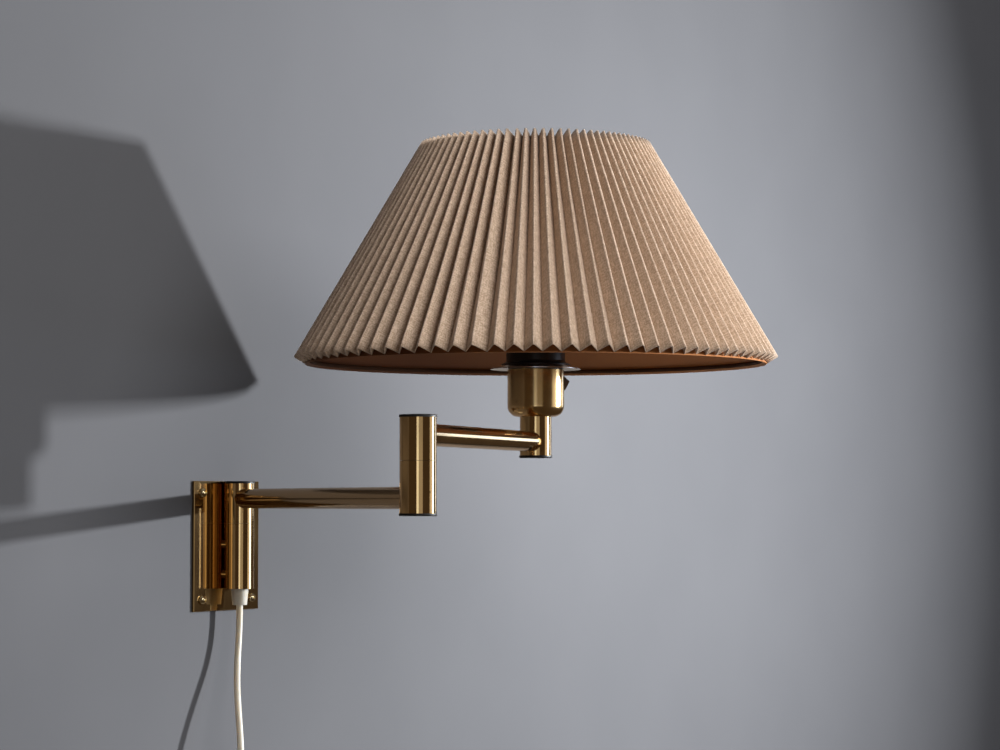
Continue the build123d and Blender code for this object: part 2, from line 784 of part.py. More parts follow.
with BuildPart() as lampholder_body:
    with BuildSketch(profile_plane(lamp)):
        with BuildLine():
            Polyline(
                (0, HOLDER_FLOOR),
                (HOLDER_BARREL / 2, HOLDER_FLOOR),
                (HOLDER_BARREL / 2, CUP_TOP - HOLDER_SPIGOT),
                (CUP / 2 - CUP_WALL - SEAT_GAP, CUP_TOP - HOLDER_SPIGOT),
                (CUP / 2 - CUP_WALL - SEAT_GAP, CUP_TOP),
                (CUP / 2 - HOLDER_FLANGE_IN, CUP_TOP),
                (CUP / 2 - HOLDER_FLANGE_IN, DISC_BOTTOM),
                (SLEEVE / 2, DISC_BOTTOM),
                (SLEEVE / 2, DISC_BOTTOM + SLEEVE_TALL),
                (SHELL / 2 + SEAT_GAP, DISC_BOTTOM + SLEEVE_TALL),
                (SHELL / 2 + SEAT_GAP, shell_bottom),
                (0, shell_bottom),
                close=True,
            )
        make_face()
    revolve(axis=axis_of(lamp))
    with BuildSketch(across(switch, SWITCH_Z).offset(HOUSING_BACK - SEAT_GAP)):
        Rectangle(housing_wide + 2 * SEAT_GAP, 2 * (housing_half + SEAT_GAP))
    extrude(amount=CUP, mode=Mode.SUBTRACT)
    with BuildSketch(lamp.offset(HOLDER_FLOOR)):
        Circle(WIRE_HOLE / 2)
    extrude(amount=HOLDER_FLOOR_THICK, mode=Mode.SUBTRACT)
save(lampholder_body.part, "lampholder_body")

save(
    tube(lamp, SHELL, SHELL - 2 * SHELL_WALL, shell_bottom, shell_bottom + SHELL_TALL),
    "screw_shell",
)

with BuildPart() as centre_contact:
    contact_reach = CONTACT_WIDE + CONTACT_RISE
    with BuildSketch(profile_plane(lamp)):
        with BuildLine():
            Polyline(
                (-contact_reach, shell_bottom),
                (-CONTACT_WIDE / 2, shell_bottom),
                (CONTACT_THICK, CONTACT_TOP - CONTACT_THICK),
                (CONTACT_WIDE / 2, CONTACT_TOP - CONTACT_THICK),
                (CONTACT_WIDE / 2, CONTACT_TOP),
                (0, CONTACT_TOP),
                (-CONTACT_WIDE / 2 - CONTACT_THICK, shell_bottom + CONTACT_THICK),
                (-contact_reach, shell_bottom + CONTACT_THICK),
                close=True,
            )
        make_face()
    extrude(amount=CONTACT_WIDE / 2, both=True)
save(centre_contact.part, "centre_contact")

# Rocker switch: a housing in the holder body's side, a pin across it and the rocker on the pin

with BuildPart() as switch_housing:
    with BuildSketch(switch_face.offset(HOUSING_BACK)):
        Rectangle(housing_wide, 2 * housing_half)
    extrude(amount=HOUSING_FRONT - HOUSING_BACK)
    with BuildSketch(switch_face.offset(HOUSING_BACK + HOUSING_WALL)):
        Rectangle(slot_wide, 2 * cavity_half)
    extrude(amount=CUP, mode=Mode.SUBTRACT)
    with BuildSketch(profile_plane(switch)):
        with Locations((SWITCH_PIVOT, SWITCH_Z)):
            Circle(SWITCH_PIN / 2 + SEAT_GAP)
    extrude(amount=housing_wide, both=True, mode=Mode.SUBTRACT)
save(switch_housing.part, "switch_housing")

with BuildPart() as switch_pin:
    with BuildSketch(profile_plane(switch)):
        with Locations((SWITCH_PIVOT, SWITCH_Z)):
            Circle(SWITCH_PIN / 2)
    extrude(amount=housing_wide / 2, both=True)
save(switch_pin.part, "switch_pin")

rocker_out = switch.x_dir * cos(radians(ROCKER_TILT)) + UP * sin(radians(ROCKER_TILT))
rocker_plane = Plane(
    origin=switch.origin + switch.x_dir * SWITCH_PIVOT + UP * SWITCH_Z,
    x_dir=rocker_out,
    z_dir=switch.x_dir.cross(UP),
)
rocker_side = ROCKER_HALF - ROCKER_ROOM
rocker_waist = ROCKER_FACE - ROCKER_SIDE

with BuildPart() as switch_rocker:
    with BuildSketch(rocker_plane) as rocker_profile:
        with BuildLine():
            Polyline(
                (ROCKER_APEX, 0),
                (ROCKER_FACE, ROCKER_HALF),
                (rocker_waist, rocker_side),
                (-ROCKER_TAIL, ROCKER_TAIL_HALF),
                (-ROCKER_TAIL, -ROCKER_TAIL_HALF),
                (rocker_waist, -rocker_side),
                (ROCKER_FACE, -ROCKER_HALF),
                close=True,
            )
        make_face()
        fillet(rocker_profile.vertices().sort_by(Axis.X)[-1], ROCKER_ROUND)
        Circle(SWITCH_PIN / 2 + RUN_GAP, mode=Mode.SUBTRACT)
    extrude(amount=ROCKER_WIDE / 2, both=True)
save(switch_rocker.part, "switch_rocker")

# Shade carrier: a disc with a drooping rim on the holder's flange, the ring that clamps it, and on the ring
# a collar with a flange that carries three wires up to the shade's top

carrier_disc = turned(
    lamp,
    [
        (SLEEVE / 2 + DISC_ROOM, DISC_BOTTOM),
        (DISC_FLAT / 2, DISC_BOTTOM),
        (DISC / 2, DISC_BOTTOM - DISC_DROP),
        (DISC / 2, DISC_TOP - DISC_DROP),
        (DISC_FLAT / 2, DISC_TOP),
        (SLEEVE / 2 + DISC_ROOM, DISC_TOP),
    ],
)
save(carrier_disc, "carrier_disc")

flange_top = DISC_TOP + RING_FLANGE_THICK
shade_ring = turned(
    lamp,
    [
        (SLEEVE / 2 + SEAT_GAP, DISC_TOP),
        (RING_FLANGE / 2, DISC_TOP),
        (RING_FLANGE / 2, flange_top),
        ((RING_FLANGE + RING_NECK) / 4 - RING_HOLLOW, flange_top + RING_SLOPE / 2),
        (RING_NECK / 2, flange_top + RING_SLOPE),
        (RING_NECK / 2, RING_TOP),
        (SLEEVE / 2 + SEAT_GAP, RING_TOP),
    ],
)
save(shade_ring, "shade_ring")

carrier_collar = turned(
    lamp,
    [
        (SLEEVE / 2 + SEAT_GAP, RING_TOP),
        (CARRIER_RING / 2, RING_TOP),
        (CARRIER_RING / 2, CARRIER_RING_TOP),
        (CARRIER_HUB / 2, CARRIER_RING_TOP),
        (CARRIER_HUB / 2, RING_TOP + CARRIER_HUB_TALL),
        (SLEEVE / 2 + SEAT_GAP, RING_TOP + CARRIER_HUB_TALL),
    ],
)
save(carrier_collar, "carrier_collar")

# Shade: places are (distance up the slope from the ridges' bottom ends, depth in from the ridges)

SLANT = hypot(RIDGE_TOP_R - RIDGE_BOTTOM_R, RIDGE_TOP_Z - RIDGE_BOTTOM_Z)
SLOPE_R = (RIDGE_TOP_R - RIDGE_BOTTOM_R) / SLANT
SLOPE_Z = (RIDGE_TOP_Z - RIDGE_BOTTOM_Z) / SLANT


def shade_point(up, deep):
    """(radius, height) of a place on the shade."""
    return (
        RIDGE_BOTTOM_R + up * SLOPE_R - deep * SLOPE_Z,
        RIDGE_BOTTOM_Z + up * SLOPE_Z + deep * SLOPE_R,
    )


def pleat_deep(up):
    return PLEAT_DEEP_BOTTOM + (PLEAT_DEEP_TOP - PLEAT_DEEP_BOTTOM) * up / SLANT


def liner_deep(up):
    return pleat_deep(up) + SHEET + LINER_GAP


def pleat_corner(fold, up, inner):
    """A corner of the folded sheet: even folds are ridges and odd folds are valleys."""
    deep = (pleat_deep(up) if fold % 2 else 0) + (SHEET if inner else 0)
    radius, height = shade_point(up, deep)
    turn = pi * fold / PLEATS
    return Vector(radius * cos(turn), radius * sin(turn), height)


def pleated_sheet():
    """The folded sheet, closed by its own two rims, one ruled face to each side of a pleat."""
    faces = []
    for fold in range(2 * PLEATS):
        outer, inner = (
            [[pleat_corner(f, up, side) for f in (fold, fold + 1)] for up in (0, SLANT)]
            for side in (False, True)
        )
        faces.append(Face.make_bezier_surface(outer))
        faces.append(Face.make_bezier_surface(inner))
        faces.append(Face.make_bezier_surface([outer[0], inner[0]]))
        faces.append(Face.make_bezier_surface([outer[1], inner[1]]))
    return Solid(Shell(faces))


with BuildPart(lamp) as pleated_cover:
    add(pleated_sheet())
save(pleated_cover.part, "pleated_cover")

liner_corners = [
    shade_point(-LINER_SHOWS, liner_deep(-LINER_SHOWS)),
    shade_point(SLANT, liner_deep(SLANT)),
    shade_point(SLANT, liner_deep(SLANT) + LINER_THICK),
    shade_point(-LINER_SHOWS, liner_deep(-LINER_SHOWS) + LINER_THICK),
]
save(turned(lamp, liner_corners), "shade_liner")


def ring_place(up):
    """Middle of a wire ring that lies inside the liner."""
    return shade_point(up, liner_deep(up) + LINER_THICK + RING_GAP + RING_WIRE / 2)


def wire_ring(place):
    with BuildPart() as ring:
        with BuildSketch(profile_plane(lamp)):
            with Locations(place):
                Circle(RING_WIRE / 2)
        revolve(axis=axis_of(lamp))
    return ring.part


top_ring_place = ring_place(SLANT - RING_FROM_EDGE)
save(wire_ring(top_ring_place), "shade_top_ring")
save(wire_ring(ring_place(RING_FROM_EDGE)), "shade_bottom_ring")

# Carrier wires: from the collar's flange up past the bulb to the underside of the top ring

wire_top = top_ring_place[1] - RING_WIRE / 2 - RING_GAP


def carrier_wire(heading):
    frame = heading_frame(beyond(elbow, UPPER_ARM), UPPER_HEADING + heading)
    with BuildPart() as wire:
        with BuildLine(profile_plane(frame)) as path:
            FilletPolyline(
                (CARRIER_FOOT, CARRIER_RING_TOP),
                (CARRIER_FOOT, CARRIER_RING_TOP + CARRIER_FOOT_TALL),
                (top_ring_place[0], wire_top - CARRIER_TOP_RUN),
                (top_ring_place[0], wire_top),
                radius=CARRIER_BEND,
            )
        with BuildSketch(Plane(origin=path.wire() @ 0, z_dir=path.wire() % 0)):
            Circle(CARRIER_WIRE / 2)
        sweep(path=path.wire())
    return wire.part


with BuildPart() as carrier_wires:
    for number in range(CARRIER_ARMS):
        add(carrier_wire(CARRIER_FROM_ARM + 360 / CARRIER_ARMS * number))
save(carrier_wires.part, "carrier_wires")

# Bulb

cap_top = BULB_BOTTOM + BULB_TIP_TALL + BULB_CAP_TALL
bulb_cap = turned(
    lamp,
    [
        (0, BULB_BOTTOM),
        (BULB_TIP / 2, BULB_BOTTOM),
        (BULB_CAP / 2, BULB_BOTTOM + BULB_TIP_TALL),
        (BULB_CAP / 2, cap_top),
        (0, cap_top),
    ],
)
save(bulb_cap, "bulb_cap")

globe_middle = BULB_BOTTOM + BULB_TALL - BULB_GLOBE / 2
neck_top = DISC_BOTTOM + SLEEVE_TALL


def bulb_outline(inset):
    """The glass from its neck to its top, drawn in by an inset."""
    with BuildLine() as outline:
        neck = Line((BULB_NECK / 2 - inset, cap_top), (BULB_NECK / 2 - inset, neck_top))
        globe = CenterArc((0, globe_middle), BULB_GLOBE / 2 - inset, BULB_SHOULDER, 90 - BULB_SHOULDER)
        Spline(neck @ 1, globe @ 0, tangents=(neck % 1, globe % 0))
    return outline.wires()[0]


with BuildPart() as bulb_glass:
    with BuildSketch(profile_plane(lamp)):
        with BuildLine():
            add(bulb_outline(0))
            add(bulb_outline(BULB_GLASS))
            Line((BULB_NECK / 2, cap_top), (BULB_NECK / 2 - BULB_GLASS, cap_top))
            bulb_top = globe_middle + BULB_GLOBE / 2
            Line((0, bulb_top), (0, bulb_top - BULB_GLASS))
        make_face()
    revolve(axis=axis_of(lamp))
save(bulb_glass.part, "bulb_glass")

# Mains cord: straight runs joined by arcs as large as the runs allow


def cord_radii(points):
    radii = []
    for before, here, after in zip(points, points[1:], points[2:]):
        one = Vector(*here) - Vector(*before)
        two = Vector(*after) - Vector(*here)
        half_turn = radians(one.get_angle(two)) / 2
        radii.append(CORD_ARC_SHARE * min(one.length, two.length) / tan(half_turn))
    return radii


with BuildPart() as mains_cord:
    with BuildLine() as cord_path:
        FilletPolyline(*CORD_ROUTE, radius=cord_radii(CORD_ROUTE))
    with BuildSketch(Plane(origin=cord_path.wire() @ 0, z_dir=cord_path.wire() % 0)):
        Circle(CORD / 2)
    sweep(path=cord_path.wire())
save(mains_cord.part, "mains_cord")
print("cord radii", [round(r, 1) for r in cord_radii(CORD_ROUTE)])

# Coil: flat spirals of half turns, in and out by turns, each layer one pitch nearer to the wall


def coil_half_turns():
    """(radius, climb) of each half turn, from the cord's free stretch to the plug."""
    inward = [COIL_OUTER - TURN_PITCH / 2 * k for k in range(COIL_HALF_TURNS)]
    turns = []
    for layer in range(COIL_LAYERS):
        going_in = layer % 2 == 0
        turns += [(r, 0) for r in (inward if going_in else inward[::-1])]
        if layer < COIL_LAYERS - 1:
            step = -TURN_PITCH / 2 if going_in else TURN_PITCH / 2
            turns.append((turns[-1][0] + step, TURN_PITCH))
    turns.append((COIL_LAST, 0))
    return turns


coil_start = CORD_ROUTE[-1]
coil_z = coil_start[2] - CORD


def coil_path():
    """The coil's line, from the left side down, under to the right, and over the top again."""
    edges = [Line(coil_start, (coil_start[0], coil_start[1], coil_z))]
    x, y = coil_start[0], coil_start[1]
    below = True
    for radius, climb in coil_half_turns():
        across_by = 2 * radius if below else -2 * radius
        reach = hypot(2 * radius, climb) / 2
        middle_z = coil_z - reach if below else coil_z + reach
        edges.append(
            ThreePointArc(
                (x, y, coil_z),
                (x + across_by / 2, y + climb / 2, middle_z),
                (x + across_by, y + climb, coil_z),
            )
        )
        x, y = x + across_by, y + climb
        below = not below
    edges.append(Line((x, y, coil_z), (x, y, coil_z - COIL_END)))
    return Wire(edges)


def least_self_gap(path, across_size):
    """Least room between turns, on points along the line that are over a quarter turn apart."""
    count = int(path.length / 2)
    points = [tuple(path @ (k / count)) for k in range(count + 1)]
    apart = int(pi / 2 * COIL_OUTER / 2)
    nearest = min(
        dist(points[i], points[j])
        for i in range(len(points))
        for j in range(i + apart, len(points))
    )
    return nearest - across_size


coil_line = coil_path()
with BuildPart() as cord_coil:
    with BuildSketch(Plane(origin=coil_line @ 0, z_dir=coil_line % 0)):
        Circle(CORD / 2)
    sweep(path=coil_line)
save(cord_coil.part, "cord_coil")
print("coil length", round(coil_line.length, 1), "least self gap", round(least_self_gap(coil_line, CORD), 2))
for label, piece, line in (
    ("free stretch", mains_cord.part, cord_path.wire()),
    ("coil", cord_coil.part, coil_line),
):
    share = piece.volume / (line.length * pi * CORD**2 / 4)
    print(label, "length", round(line.length, 1), "volume over section times length", round(share, 4))

# Tie round the coil's lowest part

coil_end = coil_line @ 1
tie_x = coil_start[0] + COIL_OUTER - TURN_PITCH / 2
coil_inner = COIL_OUTER - TURN_PITCH / 2 * COIL_HALF_TURNS
tie_tall = COIL_OUTER - coil_inner + CORD + 2 * TIE_ROOM
tie_deep = coil_end.Y - coil_start[1] + CORD + 2 * TIE_ROOM
tie_plane = Plane(
    origin=(tie_x, (coil_start[1] + coil_end.Y) / 2, coil_z - (COIL_OUTER + coil_inner) / 2),
    x_dir=(0, 1, 0),
    z_dir=(1, 0, 0),
)

with BuildPart() as cord_tie:
    with BuildSketch(tie_plane):
        RectangleRounded(tie_deep + 2 * TIE_THICK, tie_tall + 2 * TIE_THICK, CORD / 2 + TIE_THICK)
        RectangleRounded(tie_deep, tie_tall, CORD / 2, mode=Mode.SUBTRACT)
    extrude(amount=TIE_WIDE / 2, both=True)
save(cord_tie.part, "cord_tie")

# Plug: a moulded body with a tapered sleeve round the cord, and two round pins

plug_top = coil_end.Z
body_top = plug_top - PLUG_SLEEVE_TALL
body_bottom = body_top - PLUG_TALL
plug_axis = (coil_end.X, coil_end.Y)


def plug_level(height):
    return Plane(origin=(*plug_axis, height))


with BuildPart() as plug_body:
    with BuildSketch(plug_level(body_top)):
        RectangleRounded(PLUG_SLEEVE + 2 * PLUG_ROUND, PLUG_SLEEVE, PLUG_ROUND)
    with BuildSketch(plug_level(body_top - PLUG_TAPER)):
        RectangleRounded(PLUG_WIDE, PLUG_THICK, PLUG_ROUND)
    with BuildSketch(plug_level(body_bottom)):
        RectangleRounded(PLUG_WIDE, PLUG_THICK, PLUG_ROUND)
    loft(ruled=True)
    with BuildSketch(plug_level(plug_top)):
        Circle(PLUG_SLEEVE_END / 2)
    with BuildSketch(plug_level(body_top)):
        Circle(PLUG_SLEEVE / 2)
    loft()
save(plug_body.part, "plug_body")

with BuildPart() as plug_pins:
    with BuildSketch(plug_level(body_bottom)):
        with GridLocations(PIN_SPREAD, 0, 2, 1):
            Circle(PIN / 2)
    extrude(amount=-PIN_LONG)
    fillet(plug_pins.edges().group_by(Axis.Z)[0], PIN_ROUND)
save(plug_pins.part, "plug_pins")
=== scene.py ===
# %% [markdown]
# # Articulating wall light
# A brass wall light with two swinging arms, a switched lampholder and a pleated shade.
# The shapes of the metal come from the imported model. This lesson adds what the model alone lacks:
# the folded cloth of the shade, the hanging cord, and a finish for every piece.

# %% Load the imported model
import json
from math import cos, hypot, pi, radians, sin

import bpy
import numpy as np
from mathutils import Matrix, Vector


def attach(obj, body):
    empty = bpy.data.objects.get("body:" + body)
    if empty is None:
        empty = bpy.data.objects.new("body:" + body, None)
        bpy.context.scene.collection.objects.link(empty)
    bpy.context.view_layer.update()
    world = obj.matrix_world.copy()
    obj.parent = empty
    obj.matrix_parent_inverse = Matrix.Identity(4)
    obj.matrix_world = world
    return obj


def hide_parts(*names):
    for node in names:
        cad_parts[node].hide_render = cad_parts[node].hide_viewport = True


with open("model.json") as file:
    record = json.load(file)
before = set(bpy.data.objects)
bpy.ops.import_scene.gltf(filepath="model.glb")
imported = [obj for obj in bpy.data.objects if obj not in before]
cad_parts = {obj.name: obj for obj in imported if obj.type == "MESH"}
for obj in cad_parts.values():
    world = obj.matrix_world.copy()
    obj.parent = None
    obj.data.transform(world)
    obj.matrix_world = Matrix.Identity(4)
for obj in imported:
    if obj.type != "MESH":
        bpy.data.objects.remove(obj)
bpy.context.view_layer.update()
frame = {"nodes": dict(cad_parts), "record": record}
nodes = frame["nodes"]
scene = bpy.context.scene
scene.view_settings.view_transform = "Standard"

# %% [markdown]
# ## Camera
# The photograph was taken from a little below the shade, from the left, with a long lens.
# A long lens keeps the tubes' sides parallel, so the camera stands over two metres away.

# %% Camera
CAMERA_PLACE = (-1.714, -1.284, 0.033)
CAMERA_YAW = radians(58.89)
CAMERA_PITCH = radians(2.68)
LENS = 98.57
SENSOR_WIDTH = 36.0
camera_data = bpy.data.cameras.new("camera")
camera_data.sensor_width = SENSOR_WIDTH
camera_data.lens = LENS
camera = bpy.data.objects.new("camera", camera_data)
scene.collection.objects.link(camera)
camera.location = CAMERA_PLACE
camera.rotation_euler = (pi / 2 + CAMERA_PITCH, 0.0, -CAMERA_YAW)
scene.camera = camera
print("camera", CAMERA_PLACE, "lens", LENS)

# %% [markdown]
# ## Mains cord
# The ivory cord leaves its grip straight down and hangs in a slow bend against the wall.
# A cord is one length of something springy, so it is one NURBS spline: its points pull the line
# without pinning it, and no corner shows. The length that hangs out of view is wound into a coil.
# The coil's points stand just outside the turns, because the spline touches the middle of each run.

# %% Cord line
CORD = 0.005
CORD_ROUTE = [
    (0.0, -0.0145, -0.0455),
    (0.0, -0.0145, -0.062),
    (-0.0052, -0.0164, -0.087),
    (-0.0134, -0.0222, -0.110),
    (-0.0198, -0.0292, -0.134),
    (-0.0242, -0.0346, -0.157),
    (-0.0266, -0.0344, -0.177),
    (-0.027, -0.0304, -0.193),
    (-0.027, -0.0304, -0.202),
]
TURN_PITCH = 0.0056  # from one turn to the next
COIL_OUTER = 0.0331
COIL_HALF_TURNS = 4  # in a layer
COIL_LAYERS = 4
COIL_LAST = 0.041  # radius of the last half turn, which leads to the plug
COIL_END = 0.006  # straight stretch at the plug
CORNERS_PER_HALF_TURN = 8


def coil_half_turns():
    """(radius, climb) of each half turn, in and out by turns, from the free stretch to the plug."""
    inward = [COIL_OUTER - TURN_PITCH / 2 * k for k in range(COIL_HALF_TURNS)]
    turns = []
    for layer in range(COIL_LAYERS):
        going_in = layer % 2 == 0
        turns += [(r, 0.0) for r in (inward if going_in else inward[::-1])]
        if layer < COIL_LAYERS - 1:
            step = -TURN_PITCH / 2 if going_in else TURN_PITCH / 2
            turns.append((turns[-1][0] + step, TURN_PITCH))
    return turns + [(COIL_LAST, 0.0)]


def coil_corners():
    """Points outside the coil's turns, from the left side down, under to the right and over the top."""
    x, y, z = CORD_ROUTE[-1]
    z = z - CORD
    outside = 1 / cos(pi / CORNERS_PER_HALF_TURN / 2)
    corners = []
    down = -1
    for radius, climb in coil_half_turns():
        across = -2 * radius * down
        reach = hypot(2 * radius, climb) / 2
        for k in range(CORNERS_PER_HALF_TURN):
            turn = pi * (k + 0.5) / CORNERS_PER_HALF_TURN
            side = cos(turn) * outside / 2
            drop = sin(turn) * outside * reach * down
            corners.append((x + across * (0.5 - side), y + climb * (0.5 - side), z + drop))
        x = x + across
        y = y + climb
        down = -down
    return corners + [(x, y, z), (x, y, z - COIL_END)]


print("coil half turns", len(coil_half_turns()))


# %% Cord
def spline_through(name, points, diameter):
    """A round cord on a NURBS spline that has these points as its control points."""
    curve = bpy.data.curves.new(name, "CURVE")
    curve.dimensions = "3D"
    spline = curve.splines.new("NURBS")
    spline.points.add(len(points) - 1)
    for place, point in zip(spline.points, points):
        place.co = (*point, 1.0)
        place.radius = diameter / 2
    spline.order_u = 3
    spline.use_endpoint_u = True
    spline.resolution_u = 4
    curve.bevel_depth = 1.0  # times each point's radius
    curve.bevel_resolution = 5
    curve.use_fill_caps = True
    cord = bpy.data.objects.new(name, curve)
    scene.collection.objects.link(cord)
    return cord


mains_cord = spline_through("ivory_cord", CORD_ROUTE + coil_corners(), CORD)
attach(mains_cord, "wall_bracket")
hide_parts("mains_cord", "cord_coil")
print("cord points", len(mains_cord.data.splines[0].points))

# %% [markdown]
# ## Small helpers for materials
# A material is a tree of nodes with wires between them. A few kinds of node turn up in every finish here:
# noise, a colour ramp, a mix of two colours and some arithmetic. Each gets a helper that makes the node,
# feeds its sockets with plain values or with other nodes' outputs, and hands back its own output.


# %% Making and feeding nodes
def add_node(tree, kind, **settings):
    node = tree.nodes.new(kind)
    for name, value in settings.items():
        setattr(node, name, value)
    return node


def feed(tree, socket, value):
    """Gives a socket a plain value, or wires another node's output to it."""
    if isinstance(value, bpy.types.NodeSocket):
        tree.links.new(value, socket)
    elif socket.type == "RGBA":
        socket.default_value = (*value, 1.0)
    else:
        socket.default_value = value


def new_material(name):
    material = bpy.data.materials.new(name)
    material.use_nodes = True
    tree = material.node_tree
    return material, tree, tree.nodes["Principled BSDF"]


# %% Values
def noise_on(tree, vector, scale, detail):
    noise = add_node(tree, "ShaderNodeTexNoise")
    feed(tree, noise.inputs["Vector"], vector)
    feed(tree, noise.inputs["Scale"], scale)
    feed(tree, noise.inputs["Detail"], detail)
    return noise.outputs["Fac"]


def combine(tree, operation, *values):
    """One step of arithmetic."""
    node = add_node(tree, "ShaderNodeMath", operation=operation)
    for socket, value in zip(node.inputs, values):
        feed(tree, socket, value)
    return node.outputs["Value"]


def remap(tree, value, start, end, low=0.0, high=1.0):
    """Carries a value between start and end over to low and high."""
    node = add_node(tree, "ShaderNodeMapRange")
    feed(tree, node.inputs["Value"], value)
    feed(tree, node.inputs["From Min"], start)
    feed(tree, node.inputs["From Max"], end)
    feed(tree, node.inputs["To Min"], low)
    feed(tree, node.inputs["To Max"], high)
    return node.outputs["Result"]


def scaled(tree, vector, factors):
    node = add_node(tree, "ShaderNodeVectorMath", operation="MULTIPLY")
    feed(tree, node.inputs[0], vector)
    feed(tree, node.inputs[1], factors)
    return node.outputs["Vector"]


# %% Colours
def ramp_colour(tree, value, *stops):
    """The colour of a value on a ramp with (place, colour) stops."""
    ramp = add_node(tree, "ShaderNodeValToRGB")
    points = ramp.color_ramp.elements
    while len(points) < len(stops):
        points.new(0.5)
    for point, (place, colour) in zip(points, stops):
        point.position = place
        point.color = (*colour, 1.0)
    feed(tree, ramp.inputs["Fac"], value)
    return ramp.outputs["Color"]


def mix_colours(tree, share, base, other, blend="MIX"):
    mix = add_node(tree, "ShaderNodeMix", data_type="RGBA", blend_type=blend)
    feed(tree, mix.inputs["Factor"], share)
    feed(tree, mix.inputs["A"], base)
    feed(tree, mix.inputs["B"], other)
    return mix.outputs["Result"]


# %% [markdown]
# ## Wall and floor
# The light hangs on a wall, which catches its shadow. The wall is one plane just behind the plate.
# Seen from behind it lets the view through, so that the back of the plate can be looked at too.
# What the brass mirrors of the wall is painted dimmer and browner than the wall itself: a painted
# reflection, seen only by glossy rays.
# The pale floor lies below the plug, out of the picture, and sends a little light up under the shade.

# %% Paint of the wall and the floor
PLASTER = ((0.089, 0.091, 0.100), (0.096, 0.098, 0.107))
PLASTER_PAINTED_REFLECTION = (0.62, 0.48, 0.36)
FLOOR_PAINT = ((0.66, 0.65, 0.63), (0.72, 0.71, 0.69))


def mottled(tree, scale, detail, tones):
    """A slow mottle between two close tones."""
    place = add_node(tree, "ShaderNodeTexCoord")
    mottle = noise_on(tree, place.outputs["Object"], scale, detail)
    return ramp_colour(tree, mottle, (0.3, tones[0]), (0.7, tones[1]))


def show_front_only(tree, surface):
    """Lets the view through a plane that is seen from behind."""
    clear = add_node(tree, "ShaderNodeBsdfTransparent")
    side = add_node(tree, "ShaderNodeNewGeometry")
    choice = add_node(tree, "ShaderNodeMixShader")
    feed(tree, choice.inputs["Fac"], side.outputs["Backfacing"])
    feed(tree, choice.inputs[1], surface.outputs["BSDF"])
    feed(tree, choice.inputs[2], clear.outputs["BSDF"])
    feed(tree, tree.nodes["Material Output"].inputs["Surface"], choice.outputs["Shader"])


def painted_plaster():
    material, tree, surface = new_material("painted_plaster")
    paint = mottled(tree, 6.0, 5.0, PLASTER)
    # Painted reflection: the wall turns darker and browner only where glossy rays see it.
    ray = add_node(tree, "ShaderNodeLightPath")
    seen = mix_colours(tree, ray.outputs["Is Glossy Ray"], paint, PLASTER_PAINTED_REFLECTION, "MULTIPLY")
    feed(tree, surface.inputs["Base Color"], seen)
    surface.inputs["Roughness"].default_value = 0.9
    show_front_only(tree, surface)
    return material


def pale_floor():
    material, tree, surface = new_material("pale_floor")
    feed(tree, surface.inputs["Base Color"], mottled(tree, 9.0, 2.0, FLOOR_PAINT))
    surface.inputs["Roughness"].default_value = 0.7
    return material


# %% Wall and floor
WALL_X = (-0.85, 2.6)
WALL_Y = 0.0004
WALL_TOP = 1.6
FLOOR_Z = -1.1
FLOOR_REACH = 2.4


def stage_plane(name, corners, material):
    mesh = bpy.data.meshes.new(name)
    mesh.from_pydata(corners, [], [(0, 1, 2, 3)])
    mesh.materials.append(material)
    plane = bpy.data.objects.new(name, mesh)
    scene.collection.objects.link(plane)
    return plane


left, right = WALL_X
stage_plane(
    "wall",
    [
        (left, WALL_Y, FLOOR_Z),
        (right, WALL_Y, FLOOR_Z),
        (right, WALL_Y, WALL_TOP),
        (left, WALL_Y, WALL_TOP),
    ],
    painted_plaster(),
)
floor = stage_plane(
    "floor",
    [
        (left, WALL_Y, FLOOR_Z),
        (left, -FLOOR_REACH, FLOOR_Z),
        (right, -FLOOR_REACH, FLOOR_Z),
        (right, WALL_Y, FLOOR_Z),
    ],
    pale_floor(),
)
floor.visible_glossy = False
print("wall", WALL_X, "floor at", FLOOR_Z)

# %% [markdown]
# ## Light
# One small key light stands low on the right, in front of the wall, and throws the shadow to the left.
# Its beam is narrow, so the wall darkens towards the right edge. A large front light shows the pleats,
# and a ceiling panel fills in. The other panels are for the brass, which mirrors them: two cards beside
# the camera make the broad band on each tube, and two windows on the right make its thin white lines.
# The rest of the room is dim, which gives polished metal its dark bands.


# %% Light
def panel(name, place, aim, size, power, colour, spread=pi):
    """A lit rectangle that faces its aim. The camera doesn't see it, but brass mirrors it."""
    data = bpy.data.lights.new(name, "AREA")
    data.shape = "RECTANGLE"
    data.size, data.size_y = size
    data.energy = power
    data.color = colour
    data.spread = spread
    lamp = bpy.data.objects.new(name, data)
    scene.collection.objects.link(lamp)
    lamp.location = place
    lamp.rotation_euler = (Vector(aim) - Vector(place)).to_track_quat("-Z", "Y").to_euler()
    lamp.visible_camera = False


KEY = (0.97, 0.985, 1.0)
KEY_BEAM = radians(70.0)
NEUTRAL = (1.0, 0.99, 0.98)
COOL = (0.92, 1.0, 1.12)
DAYLIGHT = (0.86, 1.0, 1.25)
OVERHEAD = (0.96, 0.98, 1.0)
SHADE_MIDDLE = Vector((0.039, -0.257, 0.16))
FRONT_WAY = Vector((-0.22, -0.86, 0.46))
FRONT_AWAY = 2.4
ELBOW = (-0.1, -0.17, 0.0)
TUBES = (0.0, -0.1, 0.05)
panel("key", (1.65, -1.70, 0.28), (0.50, 0.0, 0.10), (0.07, 0.07), 17.3, KEY, KEY_BEAM)
panel("front", SHADE_MIDDLE + FRONT_AWAY * FRONT_WAY, SHADE_MIDDLE, (2.0, 0.8), 54.0, NEUTRAL)
panel("bright_card", (-2.56, -1.69, -0.08), ELBOW, (0.62, 0.6), 1.2, COOL)
panel("dim_card", (-1.97, -2.38, -0.08), ELBOW, (1.2, 0.6), 0.7, NEUTRAL)
